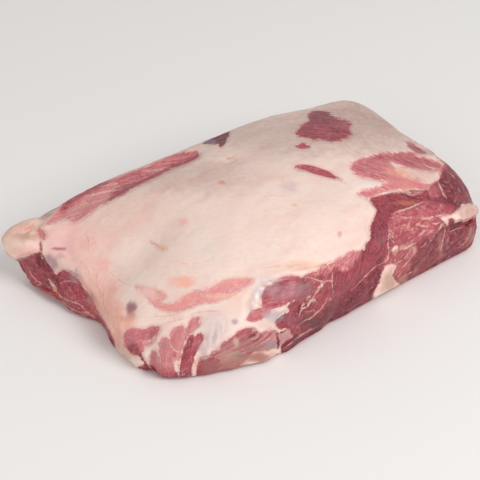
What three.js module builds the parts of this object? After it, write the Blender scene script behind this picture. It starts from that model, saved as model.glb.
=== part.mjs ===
// A raw boston butt, the upper half of a pork shoulder, trimmed to a low block and lying with its fat cap up.
// Millimetres, +Z up, origin on the table under the middle of the block. +X runs along the block, and -Y is its near
// long side, where the lean shows most.
import * as THREE from "three";
import { mergeVertices } from "three/addons/utils/BufferGeometryUtils.js";

// Driving dimensions
const HEIGHT = 84;
const MIDDLE = { x: 11.2, y: 3.5 }; // of the block's box, from the point that every place below is measured from
const FACETS = { along: 50, across: 32, up: 17 };
const CROWDING = 0.3; // how much closer the facets lie at the edges of the block than in its middle

// Roundness of the block: exponents of a superellipse, where 2 is an ellipse and 10 almost a rectangle
const CORNERS = { nearLeft: 8, nearRight: 12, farLeft: 12, farRight: 13 };
const TOP_EDGES = { near: 2.8, far: 5 };
const BASE_ROUNDNESS = 9;
const SETTLE = 1.5; // how much of the rounded base the table flattens

// Where each side stands, at even stations along it
const NEAR_SIDE = [-77, -87.5, -93, -89, -83, -80, -80];
const FAR_SIDE = [99, 96, 92, 91, 91, 90, 87];
const LEFT_END = [-121, -127, -130, -120, -124, -126, -128];
const RIGHT_END = [163, 170, 168, 163, 164];

// How high the back stands, as shares of HEIGHT: rows from the near side to the far one, stations from left to right
const BACK = [
  [0.4, 0.62, 0.8, 0.86, 0.8, 0.6],
  [0.5, 0.86, 1.0, 1.0, 0.96, 0.78],
  [0.69, 0.83, 0.88, 0.89, 0.83, 0.82],
];

// Lumps and hollows: the skin within reach of a centre is pushed, less and less towards the end of the reach
const FORMS = [
  { name: "foot of the left end", at: [-130, 64, 2], reach: [44, 62, 34], push: [-18, 2, 0] },
  { name: "lump of fat at the far left corner", at: [-132, 88, 35], reach: [36, 40, 28], push: [-29, 8, 4] },
  { name: "hump of the far right corner", at: [156, 62, 60], reach: [46, 44, 44], push: [6, 0, 0] },
  { name: "muscle of the right end", at: [166, -25, 46], reach: [46, 60, 40], push: [5, 0, 1] },
  { name: "eye muscle of the near side", at: [-26, -86, 49], reach: [36, 30, 20], push: [0, -3, 2] },
  { name: "muscle of the near left corner", at: [-110, -76, 14], reach: [26, 26, 30], push: [-2, -2, 0] },
  { name: "neck pit of the fat cap", at: [6, 31, 82], reach: [16, 14, 20], push: [0, 0, -2.5] },
  { name: "dent left of the fat cap's middle", at: [-80, 8, 64], reach: [34, 24, 30], push: [0, 0, -3] },
  { name: "dent right of the fat cap's middle", at: [30, -30, 78], reach: [40, 20, 30], push: [0, 0, -1.5] },
  { name: "muscle of the far side", at: [20, 92, 34], reach: [60, 30, 34], push: [0, 5, 0] },
];

// Seams and ridges: the skin close to a line of points is pushed in by the depth, or out where that is negative
const LINES = [
  {
    name: "lean below the right edge of the fat cap", width: 9, depth: 3,
    through: [[73, -50, 71], [73, -64, 63], [61, -75, 58], [44, -86, 48], [22, -88, 49], [-2, -88, 50]],
  },
  {
    name: "seam below the eye muscle", width: 8, depth: 3.5,
    through: [[-54, -86, 36], [-36, -93, 36], [-22, -93, 38], [-6, -91, 42]],
  },
  { name: "hollow beside the gristle", width: 8, depth: 5, through: [[-44, -93, 27], [-42, -93, 3]] },
  { name: "flange of fat at the foot", width: 10, depth: -3.5, through: [[-74, -88, 5], [-60, -91, 5], [-50, -93, 4]] },
  { name: "fat seam of the near left muscles", width: 7, depth: 2.5, through: [[-92, -74, 34], [-98, -82, 22], [-101, -82, 2]] },
  { name: "seam of the near left corner", width: 9, depth: 5, through: [[-119, -45, 28], [-123, -56, 20], [-123, -56, 0]] },
  { name: "seam of the near side", width: 8, depth: 2.5, through: [[60, -84, 36], [36, -87, 31], [20, -89, 20], [8, -90, 3]] },
  { name: "lean under the fan muscle", width: 9, depth: 2.5, through: [[76, -55, 70], [98, -57, 66], [120, -62, 57]] },
  { name: "seam of the right muscle", width: 8, depth: 2.5, through: [[143, -44, 55], [136, -60, 52], [133, -70, 48]] },
  { name: "nodule of fat", width: 11, depth: -4.5, through: [[136, -76, 40], [148, -74, 39], [156, -72, 38]] },
  { name: "seam below the nodule", width: 7, depth: 4.5, through: [[124, -80, 32], [140, -80, 30], [156, -76, 28]] },
  { name: "slit in the fat cap", width: 12, depth: 1.8, through: [[40, -6, 82], [48, -20, 80], [56, -31, 78]] },
  {
    name: "bare strip along the far edge", width: 12, depth: 3,
    through: [[-108, 83, 52], [-76, 70, 64], [-44, 66, 71], [-6, 64, 74]],
  },
  {
    name: "undercut of the fat along the left end", width: 9, depth: 4.5,
    through: [[-136, 64, 33], [-128, 51, 22], [-124, 33, 22], [-121, 17, 14]],
  },
  { name: "fold on the lump of fat", width: 8, depth: 3.5, through: [[-118, 92, 50], [-137, 86, 47]] },
  { name: "cleft before the lump of fat", width: 8, depth: 5, through: [[-128, 77, 48], [-133, 71, 42], [-136, 65, 36]] },
  { name: "undercut of the lump of fat", width: 9, depth: 4, through: [[-147, 98, 21], [-146, 84, 22], [-139, 72, 29]] },
  { name: "upper seam of the left end", width: 7, depth: 2.5, through: [[-135, 58, 17], [-131, 40, 9]] },
  { name: "lower seam of the left end", width: 7, depth: 2, through: [[-142, 76, 21], [-136, 61, 8]] },
  { name: "long seam of the far side", width: 10, depth: 4, through: [[-96, 96, 34], [-30, 92, 46], [40, 94, 50], [110, 90, 40]] },
  { name: "short seam of the far side", width: 8, depth: 3, through: [[40, 94, 48], [58, 93, 24], [70, 92, 2]] },
  { name: "long seam of the right end", width: 9, depth: 4, through: [[166, -66, 20], [172, -24, 30], [170, 20, 44], [164, 62, 42]] },
  { name: "short seam of the right end", width: 8, depth: 3, through: [[170, 16, 42], [168, 30, 20], [166, 36, 2]] },
];

const lerp = THREE.MathUtils.lerp;

// The value at t from -1 to 1 of a smooth curve through evenly spaced values
function along(values, t) {
  const at = (THREE.MathUtils.clamp((t + 1) / 2, 0, 1)) * (values.length - 1);
  const i = Math.min(Math.floor(at), values.length - 2);
  const f = at - i;
  const [a, b, c, d] = [values[Math.max(i - 1, 0)], values[i], values[i + 1], values[Math.min(i + 2, values.length - 1)]];
  return b + 0.5 * f * (c - a + f * (2 * a - 5 * b + 4 * c - d + f * (3 * (b - c) + d - a)));
}

// A place from -1 to 1 across a face, moved so that the facets crowd towards both edges
const crowded = (t) => t + (CROWDING * Math.sin(Math.PI * t)) / Math.PI;

// A point on the unit cube's skin, pushed in to a block with rounded edges
function rounded(u, v, w) {
  const near = lerp(CORNERS.nearLeft, CORNERS.nearRight, (u + 1) / 2);
  const far = lerp(CORNERS.farLeft, CORNERS.farRight, (u + 1) / 2);
  const corner = lerp(near, far, (v + 1) / 2);
  const plan = (Math.abs(u) ** corner + Math.abs(v) ** corner) ** (1 / corner);
  const roundness = w > 0 ? lerp(TOP_EDGES.near, TOP_EDGES.far, (v + 1) / 2) : BASE_ROUNDNESS;
  const size = (plan ** roundness + Math.abs(w) ** roundness) ** (1 / roundness);
  return [u / size, v / size, w / size];
}

// How far a point lies from a line through places
function distance(point, through) {
  const places = through.map((place) => new THREE.Vector3(...place));
  const pieces = places.slice(1).map((end, i) => new THREE.Line3(places[i], end));
  return Math.min(...pieces.map((piece) => piece.closestPointToPoint(point, true, new THREE.Vector3()).distanceTo(point)));
}

// 1 at the middle of a form, 0 at the end of its reach, and level at both
const fade = (share) => Math.max(1 - share ** 2, 0) ** 2;

// Moves every point of the skin to where a function of the point and its normal puts it
function reshape(skin, moved) {
  skin.computeVertexNormals();
  const place = skin.getAttribute("position");
  const normals = skin.getAttribute("normal");
  for (let i = 0; i < place.count; i++) {
    const point = new THREE.Vector3().fromBufferAttribute(place, i);
    const normal = new THREE.Vector3().fromBufferAttribute(normals, i);
    place.setXYZ(i, ...moved(point, normal));
  }
}

function block() {
  const cube = new THREE.BoxGeometry(2, 2, 2, FACETS.along, FACETS.across, FACETS.up);
  cube.deleteAttribute("uv");
  cube.deleteAttribute("normal");
  const skin = mergeVertices(cube, 1e-4);
  reshape(skin, (corner) => {
    const [u, v, w] = rounded(crowded(corner.x), crowded(corner.y), corner.z);
    const x = lerp(along(LEFT_END, v), along(RIGHT_END, v), (u + 1) / 2);
    const y = lerp(along(NEAR_SIDE, u), along(FAR_SIDE, u), (v + 1) / 2);
    const back = along(BACK.map((row) => along(row, u)), v);
    return new THREE.Vector3(x, y, (HEIGHT / 2) * (1 + w) * back);
  });
  return skin;
}

function withForms(skin) {
  reshape(skin, (point) => {
    const moved = point.clone();
    for (const { at, reach, push } of FORMS) {
      const away = point.clone().sub(new THREE.Vector3(...at)).divide(new THREE.Vector3(...reach)).length();
      moved.addScaledVector(new THREE.Vector3(...push), fade(away));
    }
    return moved;
  });
  return skin;
}

function withLines(skin) {
  reshape(skin, (point, normal) => {
    const depths = LINES.map(({ through, width, depth }) => depth * fade(distance(point, through) / width));
    return point.clone().addScaledVector(normal, -Math.max(...depths) - Math.min(...depths));
  });
  return skin;
}

// Lays the block on the table, which flattens its lowest part, with the origin under its middle
function laidDown(skin) {
  reshape(skin, ({ x, y, z }) => new THREE.Vector3(x - MIDDLE.x, y - MIDDLE.y, Math.max(z - SETTLE, 0)));
  skin.computeVertexNormals();
  return skin;
}

const meat = new THREE.MeshStandardMaterial({ color: 0xe3c4b8, roughness: 0.45, metalness: 0 });
const butt = new THREE.Mesh(laidDown(withLines(withForms(block()))), meat);
butt.name = "boston_butt";

const model = new THREE.Group();
model.add(butt);
export default model;
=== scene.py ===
# A raw boston butt: a low block of pork shoulder that lies with its fat cap up, on a plain pale table.
# The solid gives the block its form. This script adds its muscles, seams, membranes and fat.
import math

import bpy
import numpy as np
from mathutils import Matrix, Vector
from mathutils.bvhtree import BVHTree
from mathutils.noise import fractal, noise


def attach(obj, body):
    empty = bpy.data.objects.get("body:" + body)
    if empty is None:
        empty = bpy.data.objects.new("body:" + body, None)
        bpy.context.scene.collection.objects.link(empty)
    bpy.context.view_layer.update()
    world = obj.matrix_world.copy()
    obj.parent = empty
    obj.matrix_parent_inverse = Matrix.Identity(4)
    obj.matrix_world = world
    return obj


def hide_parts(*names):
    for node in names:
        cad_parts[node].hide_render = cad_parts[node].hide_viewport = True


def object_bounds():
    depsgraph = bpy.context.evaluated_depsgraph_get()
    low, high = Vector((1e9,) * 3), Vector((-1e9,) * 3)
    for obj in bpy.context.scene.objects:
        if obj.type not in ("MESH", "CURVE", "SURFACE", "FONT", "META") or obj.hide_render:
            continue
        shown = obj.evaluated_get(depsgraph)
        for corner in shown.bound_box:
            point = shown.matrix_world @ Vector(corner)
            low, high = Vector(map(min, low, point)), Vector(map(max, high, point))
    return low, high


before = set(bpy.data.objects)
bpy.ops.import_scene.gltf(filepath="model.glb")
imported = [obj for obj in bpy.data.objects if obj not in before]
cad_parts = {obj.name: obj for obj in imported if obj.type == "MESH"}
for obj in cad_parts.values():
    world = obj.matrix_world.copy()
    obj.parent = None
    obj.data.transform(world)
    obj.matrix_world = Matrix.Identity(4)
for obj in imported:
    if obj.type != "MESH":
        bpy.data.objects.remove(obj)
cad_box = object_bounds()

MM = 0.001

# The camera, the table and the light.
# A long lens looks down on the near left corner. The table is a wide sheet of matt pale board. The light is
# that of a soft studio: one broad lamp over the right shoulder, a weaker one from the left and a pale room.
PHOTO_SIZE = 480  # pixels, each way
LENS = 116  # millimetres, as is the width of the sensor
SENSOR = 36
CAMERA_TARGET = Vector((-21.2, -7.5, 37.0)) * MM
CAMERA_DISTANCE = 1120 * MM
CAMERA_AZIMUTH = math.radians(-35.8)
CAMERA_ELEVATION = math.radians(35.6)
TABLE_WIDTH = 6.0  # metres, as are the places and widths of the lamps
TABLE_COLOUR = "#F9F7F5"
TABLE_ROUGHNESS = 0.75
BOARD_GRAIN = 4 * MM
BOARD_RELIEF = 0.2 * MM
BOARD_RELIEF_STRENGTH = 0.1
ROOM_COLOUR = "#FFFDFC"
ROOM_STRENGTH = 0.5
LAMPS = {
    "key": {"at": (0.5, -1.5, 1.5), "width": 1.2, "power": 24},
    "fill": {"at": (-1.5, -0.7, 0.9), "width": 1.2, "power": 5},
}


def linear(hex_colour):
    """The linear colour, with alpha, of a hex value, by the formula of the sRGB standard."""
    shares = [int(hex_colour[i:i + 2], 16) / 255 for i in (1, 3, 5)]
    return (*[s / 12.92 if s <= 0.04045 else ((s + 0.055) / 1.055) ** 2.4 for s in shares], 1)


def add(tree, kind, links=None, **settings):
    """Adds a shader node with its settings. Each link gives an input a value or another node's output."""
    made = tree.nodes.new("ShaderNode" + kind)
    stops = settings.pop("stops", None)
    for name, value in settings.items():
        setattr(made, name, value)
    if stops:
        while len(made.color_ramp.elements) < len(stops):
            made.color_ramp.elements.new(1)
        for element, (position, colour) in zip(made.color_ramp.elements, stops):
            element.position = position
            element.color = linear(colour)
    for key, value in (links or {}).items():
        socket = made.inputs[key] if isinstance(key, int) else next(
            s for s in made.inputs if s.name == key and s.enabled)
        if isinstance(value, bpy.types.Node):
            value = next(s for s in value.outputs if s.enabled)
        if isinstance(value, bpy.types.NodeSocket):
            tree.links.new(value, socket)
        else:
            socket.default_value = value
    return made


def new_material(name):
    """A material with an empty node tree, and the tree."""
    material = bpy.data.materials.new(name)
    material.use_nodes = True
    material.node_tree.nodes.clear()
    return material, material.node_tree


back = Vector((
    math.sin(CAMERA_AZIMUTH) * math.cos(CAMERA_ELEVATION),
    -math.cos(CAMERA_AZIMUTH) * math.cos(CAMERA_ELEVATION),
    math.sin(CAMERA_ELEVATION),
))
bpy.ops.object.select_all(action="DESELECT")
bpy.ops.object.camera_add(
    location=CAMERA_TARGET + back * CAMERA_DISTANCE,
    rotation=(math.pi / 2 - CAMERA_ELEVATION, 0, CAMERA_AZIMUTH),
)
camera = bpy.context.object
camera.data.lens = LENS
camera.data.sensor_width = SENSOR
bpy.context.scene.camera = camera
bpy.context.scene.view_settings.view_transform = "Standard"

bpy.ops.mesh.primitive_plane_add(size=TABLE_WIDTH, location=(0, 0, 0))
table = bpy.context.object
table.name = "table"
board, tree = new_material("matt pale board")
coordinates = add(tree, "TexCoord")
grain = add(tree, "TexNoise", {"Vector": coordinates.outputs["Object"], "Scale": 1 / BOARD_GRAIN})
bump = add(tree, "Bump", {
    "Height": grain, "Strength": BOARD_RELIEF_STRENGTH, "Distance": BOARD_RELIEF,
})
paint = add(tree, "BsdfPrincipled", {
    "Base Color": linear(TABLE_COLOUR), "Roughness": TABLE_ROUGHNESS, "Normal": bump,
})
add(tree, "OutputMaterial", {"Surface": paint})
table.data.materials.append(board)

room = bpy.data.worlds.new("pale room")
room.use_nodes = True
room.node_tree.nodes["Background"].inputs["Color"].default_value = linear(ROOM_COLOUR)
room.node_tree.nodes["Background"].inputs["Strength"].default_value = ROOM_STRENGTH
bpy.context.scene.world = room
for name, lamp in LAMPS.items():
    place = Vector(lamp["at"])
    aim = (CAMERA_TARGET - place).to_track_quat("-Z", "Y").to_euler()
    bpy.ops.object.light_add(type="AREA", location=place, rotation=aim)
    bpy.context.object.name = name
    bpy.context.object.data.size = lamp["width"]
    bpy.context.object.data.energy = lamp["power"]


# The block of meat.
# One muscle group of the upper shoulder, trimmed to a block about 33 cm long. Its form comes from the solid,
# whose facets are joined and rounded here, and every muscle and seam is then laid on this one skin.
JOIN_WITHIN = 0.01 * MM
FLATTEST_PAIR = math.radians(80)  # between two facets, or two sides, that still join to one four-sided face
ROUNDING_LEVELS = 2


def run_modifiers(piece):
    """Applies all the piece's modifiers in their order."""
    bpy.context.view_layer.objects.active = piece
    for modifier in list(piece.modifiers):
        bpy.ops.object.modifier_apply(modifier=modifier.name)


butt = bpy.data.objects.new("meat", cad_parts["boston_butt"].data.copy())
bpy.context.collection.objects.link(butt)
bpy.ops.object.select_all(action="DESELECT")
butt.select_set(True)
bpy.context.view_layer.objects.active = butt
bpy.ops.object.mode_set(mode="EDIT")
bpy.ops.mesh.select_all(action="SELECT")
bpy.ops.mesh.remove_doubles(threshold=JOIN_WITHIN)
bpy.ops.mesh.tris_convert_to_quads(face_threshold=FLATTEST_PAIR, shape_threshold=FLATTEST_PAIR)
bpy.ops.object.mode_set(mode="OBJECT")
rounding = butt.modifiers.new("rounding", "SUBSURF")
rounding.levels = ROUNDING_LEVELS
rounding.render_levels = ROUNDING_LEVELS
run_modifiers(butt)


# The map of the flesh.
# Each muscle, fat patch, seam and stain is an outline drawn on one view of the block: as the camera sees it,
# on the far side, on the right end or from below. The camera's view is in pixels of a picture that is
# PHOTO_SIZE wide, and the others are in millimetres.
PIXEL = 0.724  # millimetres that one pixel spans at the middle of the block
CURVE_STEPS = 5
FAR_OFF = 14.0  # millimetres past which the distance from an outline doesn't matter
TAPER = 3  # how late a line thins out towards its ends
SHORTEST_RUN = 1e-9  # keeps a division from nought, as does FAINTEST
FAINTEST = 1e-6
BELLY_EDGE = 4.5  # millimetres over which a muscle's round edge falls away
MUSCLE_SHIFT = 17.0  # sets the fibre pattern of each muscle apart
WANDER_SIZE = 5.0  # millimetres from one stray of a stain's edge to the next
STRAY = 0.45  # how far a stain's edge strays, as a share of its smaller reach
STRAY_MOST = 5.0  # millimetres
WANDER_SHIFT = Vector((31.7, 0, 0))  # sets the stray down apart from the stray across
STAIN_FADE = (0.3, 1.4)  # shares of a stain's reach, between which it fades out
TONE_LEAD = (-3.0, -1.5)  # millimetres outside a muscle that lies in fat, between which its tone sets in
FIBRE_LEAD = 1.0  # millimetres outside a patch in which the fibres already run its way
PLAIN_FAT = {  # what a place holds where no patch lies
    "lean": -FAR_OFF, "tone": 0.5, "film": 0.0, "marbling": 0.0, "step": 0.3, "ragged": 0.3, "belly": 0.0,
    "crease": 0.0, "muscle": -1,
}


def curve(points, closed):
    """A smooth line through the points, closed or open: a Catmull-Rom spline."""
    p = np.array(points, float)
    ends = (p[-1:], p[:2]) if closed else (2 * p[:1] - p[1:2], 2 * p[-1:] - p[-2:-1])
    q = np.concatenate([ends[0], p, ends[1]])
    t = np.linspace(0, 1, CURVE_STEPS, endpoint=False)[:, None]
    pieces = []
    for a, b, c, d in zip(q, q[1:], q[2:], q[3:]):
        pieces.append(b + 0.5 * t * (c - a + t * (2 * a - 5 * b + 4 * c - d + t * (3 * (b - c) + d - a))))
    line = np.concatenate(pieces)
    return np.concatenate([line, line[:1] if closed else p[-1:]])


def offsets(places, line):
    """How far each place lies from a line, the step to it from the line, and how far along the line it is."""
    best = np.full(len(places), np.inf)
    step = np.zeros_like(places)
    along = np.zeros(len(places))
    for number, (a, b) in enumerate(zip(line, line[1:])):
        run = b - a
        share = np.clip((places - a) @ run / max(run @ run, SHORTEST_RUN), 0, 1)
        away = places - a - share[:, None] * run
        size = np.hypot(away[:, 0], away[:, 1])
        closer = size < best
        best[closer] = size[closer]
        step[closer] = away[closer]
        along[closer] = (number + share[closer]) / (len(line) - 1)
    return best, step, along


def inside(places, line):
    """Whether each place lies inside a closed line."""
    x, y = places.T
    crossings = np.zeros(len(places), bool)
    for (ax, ay), (bx, by) in zip(line, line[1:]):
        if ay != by:
            crossings ^= ((ay > y) != (by > y)) & (x < ax + (y - ay) * (bx - ax) / (by - ay))
    return crossings


def thinning(along):
    """1 along the middle of a line, from which it falls to 0 at the ends."""
    return 1 - np.abs(2 * along - 1) ** TAPER


def near(places, line, reach):
    """The places that lie within reach of the box round a line."""
    low, high = line.min(0) - reach, line.max(0) + reach
    return np.flatnonzero(((places >= low) & (places <= high)).all(1))


def smooth(low, high, value):
    """0 below low and 1 above high, with an even slope between that is level at both ends."""
    share = np.clip((value - low) / (high - low), 0, 1)
    return share * share * (3 - 2 * share)


def patch(outline, kind="lean", tone=0.5, film=0.0, marbling=0.15, step=0.3, ragged=0.3, grain=(1, 0),
          soft=1.0, belly=0.0):
    """A patch of lean or fat, or one that only changes the tone of the lean, from 0 for pale to 1 for dark.
    Film is how much membrane covers it, marbling how much fat runs through it, step how much lower than the
    fat it lies, ragged how far its edge runs out along the fibres, grain the way of the fibres, soft how
    slowly its tone sets in and belly how far it bulges."""
    return {
        "outline": outline, "kind": kind, "tone": tone, "film": film, "marbling": marbling, "step": step,
        "ragged": ragged, "grain": grain, "soft": soft, "belly": belly,
    }


# The fat cap and the bare muscle that shows through it, as the camera sees them.
# The cap is a smooth sheet of firm fat. Where it was trimmed thin the muscle below shows, as a long strip
# near the far edge, a ragged patch, a slit and a pink streak along the near edge.
STRIP_GRAIN = (130, -57)
PATCH_GRAIN = (1, 0.12)
CAP_PATCHES = {
    "strip along the far edge": patch(
        [(46, 224), (52, 217), (60, 208), (66, 200), (80, 193), (97, 184), (115, 178), (130, 172), (150, 165),
         (163, 159), (178, 153), (190, 151.5), (198, 152), (199, 157), (190, 162), (178, 167), (165, 172),
         (150, 180), (138, 185), (128, 191), (112, 200), (100, 206), (92, 212), (82, 219), (72, 222.5),
         (69, 221), (74, 216), (66, 219), (56, 221)],
        marbling=0.4, tone=0.22, ragged=0.9, grain=STRIP_GRAIN, step=0.6),
    "dark end of the strip": patch(
        [(120, 177), (150, 164), (190, 150), (201, 155), (165, 174), (130, 190), (112, 198)],
        kind="tone", tone=0.44, grain=STRIP_GRAIN, soft=14, step=0.6),
    "upper rim of the strip": patch(
        [(60, 208), (66, 199), (80, 192), (105, 181), (108, 185), (84, 196), (72, 205), (64, 211)],
        kind="tone", tone=0.58, grain=STRIP_GRAIN, soft=4, step=0.6),
    "lower rim of the strip": patch(
        [(112, 202), (128, 192), (150, 181), (178, 168), (200, 158), (200, 154), (178, 163), (150, 175),
         (128, 186), (110, 196)],
        kind="tone", tone=0.62, grain=STRIP_GRAIN, soft=2.5, step=0.6),
    "ragged patch": patch(
        [(296, 134), (299, 128), (303, 124), (309, 121), (308, 116), (312, 111.5), (320, 111), (330, 113),
         (335, 117), (342, 119), (352, 124), (349, 128), (352, 134), (345, 139), (334, 141.5), (320, 140),
         (305, 138)],
        tone=0.66, ragged=2.4, grain=PATCH_GRAIN),
    "top of the ragged patch": patch(
        [(305, 121), (309, 108), (338, 110), (336, 118), (322, 122)],
        kind="tone", tone=0.8, grain=PATCH_GRAIN, soft=4),
    "small patch": patch(
        [(296, 145), (303, 143.5), (310, 146), (306, 149), (299, 148.5)],
        tone=0.6, ragged=1.2, grain=PATCH_GRAIN),
    "slit": patch(
        [(292.5, 166.8), (296.5, 165.2), (301, 164.6), (305, 164.6), (310, 165.2), (315, 166.6), (320, 168.2),
         (325, 169.8), (330, 172), (334, 175), (340, 178.7), (335, 179), (330, 178), (325, 176.8),
         (320, 175.5), (315, 174.2), (310, 172.5), (305, 170.5), (300, 168.8), (296, 168)],
        tone=0.56, ragged=0.0, grain=(48, 14), soft=2, step=0.8, film=0.06),
    "slash on the far edge": patch(
        [(203, 143.8), (212, 138), (222, 133), (230, 132), (226, 141), (221, 147), (218, 143.8), (210, 144)],
        tone=0.9, ragged=0.6, grain=(26, -8)),
    "streak along the near edge": patch(
        [(134, 286), (139, 286), (146, 287), (152, 289), (160, 291), (166, 296), (165, 299), (160, 300.5),
         (163, 303), (170, 304), (177, 302), (182, 297), (190, 293), (200, 291), (208, 289), (216, 284),
         (222, 281), (235, 279), (245, 278), (252, 278.5), (253, 281), (247, 285), (238, 291), (228, 297),
         (218, 301), (205, 303), (195, 306), (182, 310), (170, 311.5), (160, 309), (152, 304), (148, 299),
         (143, 294), (138, 290)],
        marbling=0.6, tone=0.1, film=0.05, ragged=0.35, grain=(120, -10), soft=5),
}

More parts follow.
